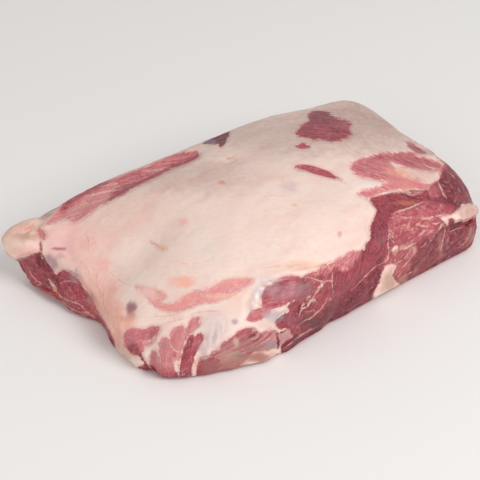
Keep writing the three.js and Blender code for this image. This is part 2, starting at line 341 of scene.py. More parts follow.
# The muscles of the right end and of the near side, as the camera sees them.
# The cut face of the shoulder: one large muscle turns the near right corner, a fan of pale muscle spreads
# over the top of the right end, and a round eye muscle and four short ones end at the near side.
FAN_GRAIN = (70, 19)
SHORT_MUSCLE_GRAIN = (-8, 30)
MUSCLE_PATCHES = {
    "lean of the right and near sides": patch(
        [(370, 198), (380, 194.5), (400, 190.5), (427, 191), (430, 186), (438, 178), (440, 168), (443, 163),
         (436, 156), (445, 148), (470, 165), (492, 200), (492, 250), (470, 264), (440, 277), (410, 294),
         (370, 316), (335, 338), (300, 360), (284, 368), (281, 352), (279, 336), (290, 330), (299, 318),
         (300, 304), (312, 292), (322, 286), (320, 281), (304, 277), (308, 274), (318, 270), (320, 266),
         (328, 264), (335, 262), (342, 260), (350, 256), (358, 252), (363, 249), (366, 243), (369.5, 240),
         (370, 232), (371, 224), (374, 219), (376.5, 211), (374, 206)],
        marbling=0.25, tone=0.74, grain=(-25, 75), ragged=0.4, step=1.2),
    "corner muscle": patch(
        [(371, 196), (377, 205), (384, 214), (392, 232), (390, 250), (385, 264), (372, 275), (352, 294),
         (335, 300), (334, 280), (345, 268), (358, 254), (368, 240), (366, 225)],
        kind="tone", marbling=0.04, tone=0.76, grain=(-25, 75), soft=7, step=1.2),
    # Partly the darker red of this muscle's foot and partly painted shade, where the near face is undercut.
    "foot of the corner muscle": patch(
        [(387, 266), (379, 290), (350, 315), (310, 345), (280, 362), (284, 345), (305, 327), (330, 305),
         (352, 292), (372, 272)],
        kind="tone", marbling=0.12, tone=0.9, grain=(-60, 40), soft=6, step=1.2),
    "lean below the fan": patch(
        [(371, 198), (385, 194), (405, 194.5), (428, 193), (446, 199), (450, 206), (425, 202), (405, 210),
         (391, 215), (382, 214), (376, 208)],
        kind="tone", marbling=0.1, tone=0.76, grain=(60, -4), soft=3, step=1.2),
    "marbled muscle": patch(
        [(393, 214), (408, 209), (425, 201.5), (450, 206), (452, 212), (440, 222), (441, 229), (434, 236),
         (420, 241), (408, 248), (398, 250), (391, 240), (388, 225)],
        kind="tone", marbling=0.4, tone=0.58, grain=(50, -18), soft=3, step=1.0),
    "streaked muscle of the end": patch(
        [(440, 168), (444, 162), (440, 152), (465, 160), (492, 200), (474, 207), (458, 206), (448, 203),
         (443, 193), (439, 181)],
        kind="tone", marbling=0.3, tone=0.86, grain=(14, 32), soft=3, step=1.0),
    "edge of the end": patch(
        [(450, 158), (463, 172), (474, 192), (478, 206), (492, 205), (480, 165), (460, 148)],
        kind="tone", tone=0.95, grain=(14, 32), soft=10, step=1.0),
    "lean below the nodule": patch(
        [(441, 226), (460, 222), (478, 219), (492, 225), (480, 262), (440, 280), (405, 297), (392, 285),
         (394, 270), (406, 260), (417, 248), (424, 240), (436, 235)],
        kind="tone", marbling=0.2, tone=0.84, grain=(45, -24), soft=5, film=0.05, step=1.2),
    "torn lean by the fat patch": patch(
        [(386, 258), (396, 245), (412, 246), (416, 252), (408, 268), (398, 278), (392, 268), (384, 266)],
        kind="tone", marbling=0.5, tone=0.6, grain=(22, -18), soft=3, film=0.1, step=1.2),
    "fan": patch(
        [(351, 166), (355, 162), (362, 158.5), (370, 157), (376, 154), (392, 153), (410, 152), (418, 156),
         (430, 159.5), (440, 163), (443, 168), (441, 174), (437, 181.5), (430, 184.5), (427, 190),
         (414, 189.5), (400, 190), (388, 192), (378, 195.5), (370, 198), (366, 197.5), (362, 195.5),
         (357.5, 194.5), (361, 190.5), (370, 189), (378, 186), (384, 183.5), (392, 181.5), (380, 180.5),
         (370, 178.5), (360, 175.5), (353, 172)],
        tone=0.28, grain=FAN_GRAIN, ragged=2.0, belly=0.4, step=0.6),
    "upper bundle of the fan": patch(
        [(356, 160), (376, 152), (412, 150), (443, 162), (444, 169), (424, 170), (402, 165), (380, 159.5)],
        kind="tone", tone=0.46, grain=FAN_GRAIN, soft=4, step=0.6),
    "tip of the fan": patch(
        [(349, 166), (356, 160), (372, 160), (385, 172), (384, 181), (366, 177), (353, 173)],
        kind="tone", tone=0.36, grain=FAN_GRAIN, soft=6, step=0.5),
    "fat wedge of the fan": patch(
        [(390, 161.5), (400, 165.5), (410, 168.5), (425, 171), (438, 171.5), (440, 176), (436, 181),
         (429, 184), (421, 182.5), (412, 179.5), (403, 175.5), (396, 170)],
        kind="fat", ragged=2.6, grain=FAN_GRAIN),
    "small muscle beside the fan": patch(
        [(429, 191), (429, 186.5), (433, 184), (437, 186), (440, 191), (442, 196), (436, 197.5), (430, 196)],
        tone=0.55, belly=0.8, grain=(3, 10)),
    "strip on the far right rim": patch(
        [(406, 143), (410, 141.5), (416, 145), (423, 150), (426, 155), (420, 154), (413, 151)],
        tone=0.72, ragged=2.0, grain=(30, 14), film=0.2),
    "pale lean at the border of the cap": patch(
        [(345, 255), (352, 251), (358, 252), (361, 255), (355, 261), (351, 268), (343, 272), (336, 268),
         (326, 275), (312, 276), (308, 274), (319, 270), (321, 265), (335, 262)],
        tone=0.4, film=0.08, grain=(-20, 22), soft=3, ragged=2.0, marbling=0.5),
    "eye muscle": patch(
        [(262, 303), (261, 297), (262, 291), (266, 286), (271, 282), (276, 280), (284, 277), (291, 276),
         (300, 276.5), (309, 278), (315, 280), (320, 281.5), (321, 284), (318, 288.5), (313, 292), (308, 297),
         (304, 301), (300, 300), (295, 300.5), (291, 302), (286, 304.5), (279, 307), (272, 309), (266, 308.5),
         (262, 306)],
        marbling=0.12, grain=(30, -6), belly=1.0, soft=2, ragged=1.2),
    "right end of the eye muscle": patch(
        [(300, 278), (312, 280), (322, 284), (316, 293), (306, 300), (296, 303), (298, 290)],
        kind="tone", tone=0.68, film=0.05, marbling=0.3, grain=(30, -6), soft=6),
    "lower lobe of the eye muscle": patch(
        [(247, 318), (248, 315), (251, 312), (255, 309.5), (262, 309), (268, 310.5), (270, 312), (268, 315),
         (264, 318.5), (260, 320.5), (255, 321.5), (250, 322), (247.5, 321)],
        tone=0.44, grain=(20, -6), belly=0.6),
    "lean beside the eye muscle": patch(
        [(290, 303), (294, 300.5), (300, 300), (305, 298), (306, 302), (301, 308), (299.5, 316), (297, 318),
         (294, 314), (290, 311), (288, 307)],
        tone=0.72, grain=(10, -14), soft=2, step=1.2),
    "lean between the tendons": patch(
        [(303, 312), (312, 301), (320, 289), (331, 284), (334, 296), (322, 310), (308, 320), (299, 326)],
        marbling=0.4, tone=0.74, grain=(16, -18), soft=2, step=1.2),
    "dark muscle below the fascia": patch(
        [(276, 322), (280, 316), (286, 313), (297, 313), (300, 318), (302, 326), (300, 334), (293, 332),
         (287, 329), (281, 330), (277, 327)],
        tone=0.74, grain=(16, -14), belly=0.5, step=0.8),
    "fat patch at the foot": patch(
        [(383, 269), (387, 265.5), (392, 264), (397, 266), (393, 272), (394, 279), (400, 284), (402, 292),
         (376, 304), (373, 296), (378, 286), (381, 276)],
        kind="fat", ragged=1.6, grain=(22, -14)),
    "white lump by the fat patch": patch(
        [(391, 251), (392, 248.5), (395, 246), (397.5, 246.5), (398, 250), (396.5, 253), (396, 256.5),
         (393.5, 255.5), (392, 253)],
        kind="fat", ragged=0.6, grain=(10, -6)),
    "nodule of fat": patch(
        [(441, 217), (446, 215), (452, 213), (456, 210), (460, 207), (463, 204.5), (467, 203.5), (474, 203),
         (484, 207), (482, 214), (475, 217), (471, 219.5), (466, 221.5), (463, 222), (460, 221), (456, 223),
         (454, 221), (453, 219.5), (449, 219), (448.5, 223), (447, 227), (445.5, 223), (443, 221)],
        kind="fat", ragged=0.6, grain=(20, -8)),
    "pink corner at the foot": patch(
        [(279, 335), (281, 333), (286, 329.5), (289, 330), (291, 334), (293.5, 337.5), (290, 338.5),
         (286, 340), (283, 344), (280.5, 348), (279.5, 343), (278.5, 338)],
        tone=0.36, film=0.4),
    "first muscle of the near left": patch(
        [(124, 341), (123.5, 334), (127, 330), (133, 328.5), (140, 329), (147, 328.5), (153, 326.5),
         (159.5, 325.5), (160, 329), (157, 334), (151, 339), (145, 341), (143, 341.5), (144.5, 346),
         (143, 352), (137, 355), (131, 353.5), (127, 349), (125, 345)],
        marbling=0.2, tone=0.38, belly=0.4, grain=(20, -8), soft=2),
    "dark hollow of the first muscle": patch(
        [(127, 346), (131, 343), (137, 345), (140, 350), (138, 355), (132, 354.5), (128, 351)],
        kind="tone", tone=0.7, grain=(20, -8), soft=3),
    "strip below the first muscle": patch(
        [(143, 343.5), (147, 342), (152, 340.5), (155, 340), (151, 343.5), (146, 346.5), (143.5, 347)],
        tone=0.2, grain=(20, -8)),
    "wedge at the near left corner": patch(
        [(138, 366.5), (142, 365.5), (144, 364.5), (142.5, 360.5), (140.5, 356.5), (139, 353.5), (141, 353.5),
         (143.5, 358.5), (146, 362.5), (149.5, 366.5), (153, 371), (147, 375), (138, 371)],
        tone=0.74, grain=(6, 12)),
    "second muscle of the near left": patch(
        [(149.5, 362), (150, 354.5), (151.5, 351.5), (155, 350.5), (157.5, 352), (158.5, 356.5), (159, 350),
         (158.5, 344.5), (161, 340), (164.5, 337.5), (168, 337.5), (169.5, 341), (170, 334), (173, 329),
         (178, 326), (182.5, 325), (184.5, 328.5), (187, 327), (188.5, 322.5), (191, 319), (195, 317),
         (199.5, 317), (200, 322), (197.5, 327), (193, 331.5), (188, 336), (185, 340.5), (183.5, 346),
         (181.5, 352), (180, 359), (178.5, 366), (177, 382), (160, 384), (151, 374)],
        marbling=0.25, tone=0.29, belly=0.5, grain=SHORT_MUSCLE_GRAIN, soft=2, film=0.12),
    "foot of the second muscle": patch(
        [(150, 368), (165, 372), (178, 370), (192, 368), (192, 386), (150, 386)],
        kind="tone", tone=0.72, grain=SHORT_MUSCLE_GRAIN, soft=8),
    "fat spot of the second muscle": patch(
        [(174, 357), (177, 360), (178, 366), (177, 371.5), (174.5, 368), (173.5, 362)],
        kind="fat", ragged=0.8, grain=(2, 10)),
    "third muscle of the near left": patch(
        [(184, 346), (186.5, 341), (189, 337), (192, 335), (194.5, 337.5), (197, 335.5), (199.5, 333),
         (202, 334.5), (202.5, 339.5), (200.5, 344), (198, 350), (195, 357), (192.5, 364), (191.5, 384),
         (178, 384), (180, 365), (181, 356)],
        marbling=0.3, tone=0.68, belly=0.5, grain=SHORT_MUSCLE_GRAIN, soft=2),
    "fourth muscle of the near side": patch(
        [(196.5, 377), (197, 366), (198.5, 359.5), (202, 356), (206, 354.5), (209.5, 355), (211.5, 352),
         (216, 349.5), (219, 350), (220.5, 345.5), (224, 342), (228, 341.5), (230, 338), (234, 335.5),
         (238, 331.5), (244, 328.5), (251, 327.5), (256.5, 329.5), (260, 333), (264, 332), (269, 331),
         (275, 329.5), (278, 334), (277.5, 346), (272, 349), (262, 350.5), (255, 352), (246, 360), (236, 370),
         (222, 380), (208, 378)],
        marbling=0.55, tone=0.56, belly=0.4, grain=(30, -14), soft=2, film=0.2),
    "dark foot of the fourth muscle": patch(
        [(206, 378), (210, 368), (220, 364), (230, 362), (240, 358), (252, 352), (258, 352), (248, 364),
         (236, 372), (220, 382)],
        kind="tone", tone=0.58, grain=(40, -14), soft=2, marbling=0.6),
    "dark lobe of the fourth muscle": patch(
        [(196.5, 376), (198, 363), (203, 359), (212, 357), (219, 360), (219.5, 368), (208, 377)],
        kind="tone", tone=0.66, grain=(20, -4), soft=2),
}

# The left end, as the camera sees it.
# The cap and a thick lump of fat overhang a face of dark lean, which broad seams of fat part.
LEFT_PATCHES = {
    "lean of the left end": patch(
        [(4, 255), (13, 259.5), (20, 259), (26, 257.5), (32, 255), (38, 253), (41, 252.5), (43, 258),
         (47, 264), (51, 269), (55, 274.5), (58, 273), (61, 271.5), (66, 271), (71, 273.5), (76, 277),
         (80, 281), (84, 288), (88, 294), (93, 300), (97, 308), (101, 317), (105, 323), (110, 332),
         (114, 341), (112, 352), (92, 336), (66, 322), (36, 298), (12, 276)],
        marbling=0.35, tone=0.7, grain=(36, 30), ragged=0.6, step=0.9),
    "upper muscle of the left end": patch(
        [(56, 276), (62, 271), (70, 273), (80, 282), (88, 295), (98, 310), (96, 316), (82, 306), (68, 298),
         (60, 290)],
        kind="tone", marbling=0.4, tone=0.6, grain=(36, 24), soft=3, belly=0.5, step=0.9),
    "shade below the cleft": patch(
        [(38, 252), (42, 252), (50, 268), (57, 276), (55, 282), (44, 276), (36, 264)],
        kind="tone", tone=0.86, grain=(36, 30), soft=6, step=0.9),
    "red hollow above the cleft": patch(
        [(37, 229), (39.5, 226.5), (42, 228), (46, 235), (44, 240), (41, 238), (38, 235)],
        tone=0.34, ragged=1.4, grain=(6, 12), soft=3),
}

# Pale lines: seams of fat between the muscles, tendons and marbling, with painted highlights on some of them
# and one that is only a painted glint. Each has half its width, and its points.
CAMERA_PALE_LINES = {
    "edge of the eye muscle": (0.8, [
        (303, 276.5), (312, 278), (317, 280), (322, 281.5), (323, 285), (322, 290),
    ]),
    # The upper and lower tendons are partly white tendon and partly painted highlights on it.
    "upper tendon": (0.8, [(304.5, 301.5), (307.5, 298), (311, 295)]),
    "lower tendon": (1.2, [
        (299, 317), (300.5, 311.5), (303.5, 308), (307.5, 306), (310.5, 302.5), (312.5, 298.5), (314, 295),
    ]),
    "fork of the tendon": (0.5, [(315.5, 295.5), (315, 299.5), (317, 304)]),
    "orange seam": (0.6, [(331, 268), (332.5, 275), (332, 282), (333, 290), (334, 298)]),
    "cross seam": (0.5, [(321, 282), (327, 281), (333, 281)]),
    "long seam of the near side": (0.5, [
        (300, 324), (304, 321), (311, 318), (316, 313.5), (321, 309), (325, 303), (329, 297),
    ]),
    "seam of the corner muscle": (0.45, [
        (385, 263), (378, 265), (371, 270.5), (365, 277), (360, 282), (351, 291),
    ]),
    "line in the fourth muscle": (0.6, [(250, 341), (255, 338.5), (258, 336), (259.5, 332)]),
    "grey line above the gristle": (0.5, [(258, 345), (263, 342), (268, 339.5), (273, 338)]),
    "seam right of the third muscle": (1.5, [
        (195, 384), (194.5, 374), (195.5, 364), (198.5, 357), (201.5, 351.5),
    ]),
    "edge of the dark lobe": (0.4, [(198, 362), (204, 358.5), (212, 356.5), (220, 358)]),
    "white line of the right end": (1.0, [
        (391, 215), (397, 212), (405, 209.5), (412, 207), (418, 204), (426, 201),
    ]),
    "fascia below the fan": (1.3, [
        (370, 198), (378, 195), (386, 192.5), (396, 191), (408, 191), (420, 191.5), (428, 190),
    ]),
    "second fascia": (0.4, [(394, 194), (402, 192.5), (412, 195), (422, 194)]),
    "seam of the streaked muscle": (0.9, [(437, 181), (440.5, 187), (443, 193), (447, 199)]),
    "upper marbling": (0.9, [(422, 214), (423, 218.5), (430, 218), (437, 216), (445, 214.5)]),
    "middle marbling": (0.8, [(411, 231), (415, 225.5), (418, 224), (421, 222)]),
    "short marbling": (0.7, [(415, 238.5), (420, 235), (424, 232), (428, 228.5)]),
    "lower marbling": (0.9, [(398, 250), (405, 248.5), (411, 245), (417, 242.5)]),
    "upright marbling": (0.5, [(388, 222), (389.5, 232), (388, 244), (389, 255), (384, 263)]),
    "fine marbling": (0.35, [(405, 222), (402, 229), (399, 238), (401, 243)]),
    "second fine marbling": (0.35, [(394, 226), (393, 235), (394, 243)]),
    "seam beside the torn lean": (0.5, [(413, 253), (410, 258), (406, 264), (402, 268)]),
    "torn seam": (0.6, [(392, 266), (397, 263), (405, 258), (409, 251)]),
    "upright seam of the end": (0.4, [(441, 221), (445, 228), (443, 240), (440, 254)]),
    "streak by the right edge": (0.35, [(472, 221), (470, 233), (465, 243), (456, 250)]),
    # Painted highlight: a glint on the streaked muscle, drawn as a pale line.
    "glint on the streaked muscle": (0.5, [(448, 171.5), (452, 175), (455, 178)]),
    "cream streak of the fan": (0.8, [(423, 163.5), (428, 166.5), (434, 168.5), (440, 170)]),
    "grey seam at the foot": (0.5, [
        (283, 349), (290, 344), (296, 339), (302, 334.5), (310, 330), (318, 326),
    ]),
    "first seam of the left end": (0.45, [(27, 265), (30, 272), (36, 280), (45, 286)]),
    "broad seam of the left end": (2.0, [(48, 278.5), (51.5, 283), (54, 287), (57, 292.5)]),
    "upper seam of the left end": (0.5, [(63, 297), (70, 301), (78, 304), (86, 310)]),
    "glossy seam of the left end": (0.45, [(59, 284), (66, 281), (75, 281.5), (80, 284)]),
    "lower seam of the left end": (0.9, [(84, 310), (89, 314), (96, 319)]),
    "foot seam of the left end": (0.5, [(47, 287), (58, 297), (67, 306), (78, 312), (90, 317)]),
    "notch of the strip": (0.7, [(60, 220), (67, 217), (74, 214), (86, 211.5)]),
    "streak of the strip": (0.9, [(80, 198), (92, 195), (104, 192), (126, 188.5)]),
    "second streak of the strip": (0.8, [(98, 187), (110, 184.5), (122, 183)]),
    "third streak of the strip": (0.7, [(76, 206.5), (88, 203), (101, 200)]),
    "fourth streak of the strip": (0.6, [(140, 172.5), (158, 169.5), (172, 166.5)]),
    "rim of the strip": (0.7, [(124, 174.5), (132, 170.5), (142, 168)]),
    "white specks by the fat patch": (0.9, [(387, 256), (388.5, 259)]),
    "second white speck": (0.9, [(394, 259), (395.5, 261)]),
    "left border of the third muscle": (0.5, [(190, 335), (186, 340), (183, 346.5), (181, 353), (180, 359)]),
    "border between the lobes": (0.4, [(158.5, 353), (160.5, 358), (161, 364)]),
    "second border between the lobes": (0.7, [
        (169.5, 340), (171, 345.5), (174, 350), (178, 351.5), (181.5, 350),
    ]),
    "foot of the first muscle": (0.5, [(125, 347), (129, 352), (134, 355.5)]),
    # Partly white membrane and partly painted highlights along the wet rim of the eye muscle.
    "white rim of the eye muscle": (0.6, [(259, 290), (265, 284), (274, 279.5), (284, 276.5), (298, 275)]),
    "left rim of the eye muscle": (0.5, [(257, 297), (258, 303), (263, 308)]),
    "lump of the neck pit": (1.0, [(225, 160.5), (229, 158.5), (231, 161)]),
    "second lump of the neck pit": (0.8, [(231, 157.5), (235, 158)]),
    "tail of the neck pit": (0.5, [(218, 165.5), (223, 163)]),
    "cream marbling of the end": (0.5, [(404, 232), (408, 227), (410, 221)]),
    "second cream marbling of the end": (0.5, [(426, 236), (432, 231), (437, 230)]),
    "third cream marbling of the end": (0.45, [(420, 248), (427, 243), (432, 240)]),
    "fourth cream marbling of the end": (0.45, [(400, 216), (407, 218), (413, 217)]),
    "tail of the nodule": (0.9, [(437, 231), (440, 228), (442, 224.5), (446, 221)]),
    "marbling below the nodule": (0.5, [(448, 232), (456, 229), (463, 227)]),
    "brown streak of the foot": (0.35, [(398, 280), (408, 274), (418, 269)]),
    "second brown streak of the foot": (0.35, [(404, 284), (416, 277), (428, 272)]),
    "fifth streak of the strip": (0.6, [(92, 204), (104, 199), (116, 194)]),
    "sixth streak of the strip": (0.5, [(110, 190), (124, 184), (140, 178)]),
    "seventh streak of the strip": (0.5, [(132, 184), (150, 175), (170, 167)]),
    "eighth streak of the strip": (0.5, [(66, 213), (78, 209), (90, 205)]),
    # These two tendons too are partly white tendon and partly painted highlights.
    "end of the lower tendon": (0.9, [(314.5, 294.5), (316.5, 291.5), (319.5, 288.5)]),
    "second upper tendon": (0.6, [(299.5, 309), (302, 305), (306, 302), (309, 300)]),
    "arm of the middle marbling": (0.7, [(418, 225.5), (424, 226), (428, 225)]),
    "seam under the oval": (0.7, [(431, 223), (437, 223.5), (442, 222)]),
    "cream speck by the white lump": (1.0, [(388, 248), (391, 247)]),
    "tail of the broad seam": (0.6, [(57, 292), (62, 297), (68, 302)]),
    "third border between the lobes": (0.45, [(184.5, 327.5), (185, 333), (183.5, 339)]),
    "first strand of the pink streak": (0.7, [(149, 292.5), (155, 293.5), (163, 293)]),
    "second strand of the pink streak": (0.7, [(148, 297), (156, 297.5), (164, 299)]),
    "third strand of the pink streak": (0.6, [(139, 288.5), (143, 292), (147, 297)]),
    "fourth strand of the pink streak": (0.6, [(151, 302), (159, 304.5), (168, 306)]),
    "fifth strand of the pink streak": (0.4, [(147, 289), (145, 293), (146, 297)]),
}

# Dark lines: clefts between the muscles, dark partly with the deep red of the lean in them and partly with
# painted shade, and painted shadow in the undercut below the edge of the fat.
CAMERA_DARK_LINES = {
    "slit beside the eye muscle": (1.0, [(299.8, 303), (299.3, 307.5), (298.2, 311), (298, 316)]),
    "cut at the foot": (0.9, [(278.8, 334.2), (282.5, 332), (287, 328.8)]),
    "cleft beside the gristle": (1.0, [(276.8, 333), (277.2, 337), (278.5, 341), (278.6, 346), (277.5, 350)]),
    # Painted shadow: the gap below the nodule and the undercut of the lump, where the fat overhangs.
    "gap below the nodule": (1.1, [(454, 225.5), (458, 223.8), (460.5, 222), (463, 220.5)]),
    "undercut of the lump": (0.5, [(12, 259.5), (20, 259), (27, 257), (34, 254.5), (39, 252.5)]),
    "cleft of the near left corner": (0.8, [(138.5, 352.5), (141, 357.5), (144.5, 362.5), (150, 368.5)]),
    "cleft in the fourth muscle": (0.6, [(249, 342.5), (254, 341), (258, 338.5), (261, 335)]),
    "dark seam at the foot": (0.7, [(281, 350), (285, 345), (290, 341), (295, 336.5), (300, 332)]),
    "edge of the dark muscle": (0.5, [(277, 322), (281, 316.5), (287, 314)]),
    "inner cleft of the left end": (0.6, [(56, 276), (58, 284), (62, 292)]),
    "dark core of the fourth muscle": (1.6, [(248, 338.5), (252, 335.5), (257, 334)]),
    "tail of the slit": (0.25, [(333, 175.5), (338, 178), (343.5, 180.5)]),
    "edge of the left cleft": (0.8, [(40, 250), (45, 260), (50, 267.5), (56, 275)]),
}

# Veins, as the camera sees them: fine pink and orange threads in the fat.
CAMERA_VEINS = {
    "fold of the lump": (1.2, [(22, 232), (27, 229.5), (32, 226), (36, 221.5)]),
    "edge of the lump": (0.5, [(14, 257), (22, 255), (31, 252), (38, 249)]),
    "red spot beside the lump": (0.7, [(37, 228), (38, 233), (42, 238)]),
    "first vein of the left": (0.5, [(86, 234), (89, 240), (88, 248), (91, 256)]),
    "second vein of the left": (0.4, [(92, 236), (95, 243), (93, 251)]),
    "third vein of the left": (0.5, [(98, 272), (96, 282), (100, 292), (98, 302)]),
    "fourth vein of the left": (0.5, [(104, 290), (103, 302), (107, 312), (110, 324)]),
    "fifth vein of the left": (0.4, [(82, 262), (88, 270), (90, 280)]),
    "thread down to the pink streak": (0.35, [(106, 268), (112, 275), (121, 281), (130, 286)]),
    "first tooth of the comb": (0.9, [(149.5, 240), (152, 242.5), (153, 245)]),
    "second tooth of the comb": (0.9, [(153.5, 241.5), (155.5, 244), (156.5, 247.5)]),
    "third tooth of the comb": (0.9, [(157, 243.5), (158.5, 246.5), (159.5, 250)]),
    "fourth tooth of the comb": (0.8, [(160.5, 245.5), (162, 248), (163.5, 251)]),
    "first vein above the eye muscle": (0.5, [(262, 268), (276, 266), (290, 266), (304, 264)]),
    "second vein above the eye muscle": (0.5, [(290, 271), (304, 269), (318, 266), (330, 261)]),
    "third vein above the eye muscle": (0.5, [(322, 265), (334, 260), (346, 255)]),
    "vein above the muscles": (0.5, [(187, 318), (196, 313), (210, 311), (224, 312)]),
    "second vein above the muscles": (0.5, [(160, 326), (172, 321), (184, 319)]),
    "vein of the near left corner": (0.6, [(116, 318), (119, 328), (118, 340), (122, 350)]),
    "vein of the far hump": (0.5, [(336, 109), (346, 111), (356, 114)]),
    "vein right of the middle": (0.3, [(262, 197), (274, 195), (286, 196)]),
    "vein of the middle": (0.3, [(176, 262), (190, 264), (204, 262), (214, 257)]),
    "tail of the slit": (0.6, [(336, 178), (342, 182), (347, 185)]),
    "edge of the fan": (0.5, [(352, 173), (362, 177.5), (376, 181)]),
    "first vein below the streak": (0.4, [(150, 316), (166, 316), (182, 313)]),
}

# Creases in the fat, as the camera sees them: how deep and wide each is, and its points.
CAMERA_CREASES = {
    "fold of the lump": (2.8, 1.7, [(42, 216), (35, 223), (28, 229.5), (21, 233)]),
    "valley beside the lump": (2.6, 3.4, [(44, 212), (41, 220), (38, 227), (38, 235), (39, 242)]),
    "dent above the left end": (0.9, 6.0, [(58, 240), (66, 254), (80, 268)]),
    "long dent of the cap": (0.8, 7.0, [(152, 196), (142, 212), (140, 230)]),
    "wrinkle of the cap": (0.35, 1.2, [(160, 262), (180, 266), (205, 263), (216, 256)]),
    "second wrinkle of the cap": (0.3, 1.2, [(118, 276), (128, 284), (136, 287)]),
    "wrinkle above the eye muscle": (0.3, 1.2, [(262, 270), (290, 268), (318, 264)]),
    "rib of the near membrane": (0.5, 1.6, [(216, 318), (214, 332), (209, 346)]),
    "second rib of the near membrane": (0.5, 1.6, [(226, 318), (224, 330), (219, 342)]),
    "fold left of the eye muscle": (0.9, 3.0, [(246, 322), (246, 306), (252, 292), (264, 280)]),
    "hollow of the neck pit": (0.8, 3.0, [(226, 162), (231, 159), (236, 157)]),
    "hollow before the hump": (1.0, 9.0, [(350, 150), (380, 143), (405, 141)]),
    "second fold of the lump": (1.2, 2.4, [(30, 234), (24, 237), (17, 239)]),
}

# Stains and shades, as the camera sees them: the place, its reach both ways, the colour and how strong it is.
# Shades lie in the fat only. Most are the meat's own colours; those marked below are wholly or partly painted
# light.
CAMERA_FAT_SHADES = {
    # Painted shade: the far hump, the far edge and the far slope of the cap are darkened where the cap turns
    # away from the lamps.
    "far hump": ((368, 122), (70, 34), "#B08F87", 0.75),
    "far edge": ((270, 132), (80, 24), "#C2A399", 0.6),
    "far slope": ((180, 175), (90, 22), "#C9A79C", 0.6),
    "shade above the left strip": ((50, 210), (24, 12), "#A98F88", 0.9),
    # Painted shade: the far left of the cap is darkened where it turns away from the lamps.
    "far left": ((120, 215), (60, 26), "#E6B9AA", 0.4),
    # Partly the fat's own pink and partly painted light: the left slopes, which turn from the key lamp, are
    # lightened to look as bright as the top.
    "pink left": ((72, 242), (42, 26), "#FFB9AE", 0.6),
    "pink above the left end": ((96, 290), (26, 30), "#FFB09F", 0.6),
    "brown edge by the near left corner": ((112, 325), (22, 24), "#F09E88", 0.7),
    "brown foot of the near left corner": ((122, 352), (16, 16), "#BC8A7A", 0.7),
    "tan of the lump": ((18, 232), (24, 20), "#DCA892", 0.7),
    "pink foot of the lump": ((24, 252), (16, 5), "#EBAFA2", 0.7),
    "shade of the fat patch": ((390, 282), (10, 14), "#B98C77", 0.8),
    # Painted shade: darkens the nodule of fat, whose top faces the lamps.
    "shade of the nodule": ((470, 213), (14, 10), "#C68D7D", 0.8),
    "faint blue patch": ((290, 187), (10, 7), "#CDBDBB", 0.6),
    "faint grey patch": ((206, 250), (22, 14), "#E9DAD0", 0.6),
    "tan rim of the far right": ((430, 152), (14, 4), "#B48F86", 0.8),
    "lilac patch right of the third muscle": ((214, 330), (20, 22), "#DCC9C6", 0.7),
    "flange at the foot": ((262, 357), (19, 6), "#CE8C7B", 0.9),
    "tan wedge of the fan": ((420, 176), (22, 8), "#DBB1A2", 0.7),
    # Painted shade on the far part of the cap, like the far shades above.
    "grey shade right of the patches": ((290, 150), (34, 16), "#CDB4AE", 0.45),
    "lilac above the cleft": ((60, 247), (14, 8), "#E3BBC0", 0.6),
}
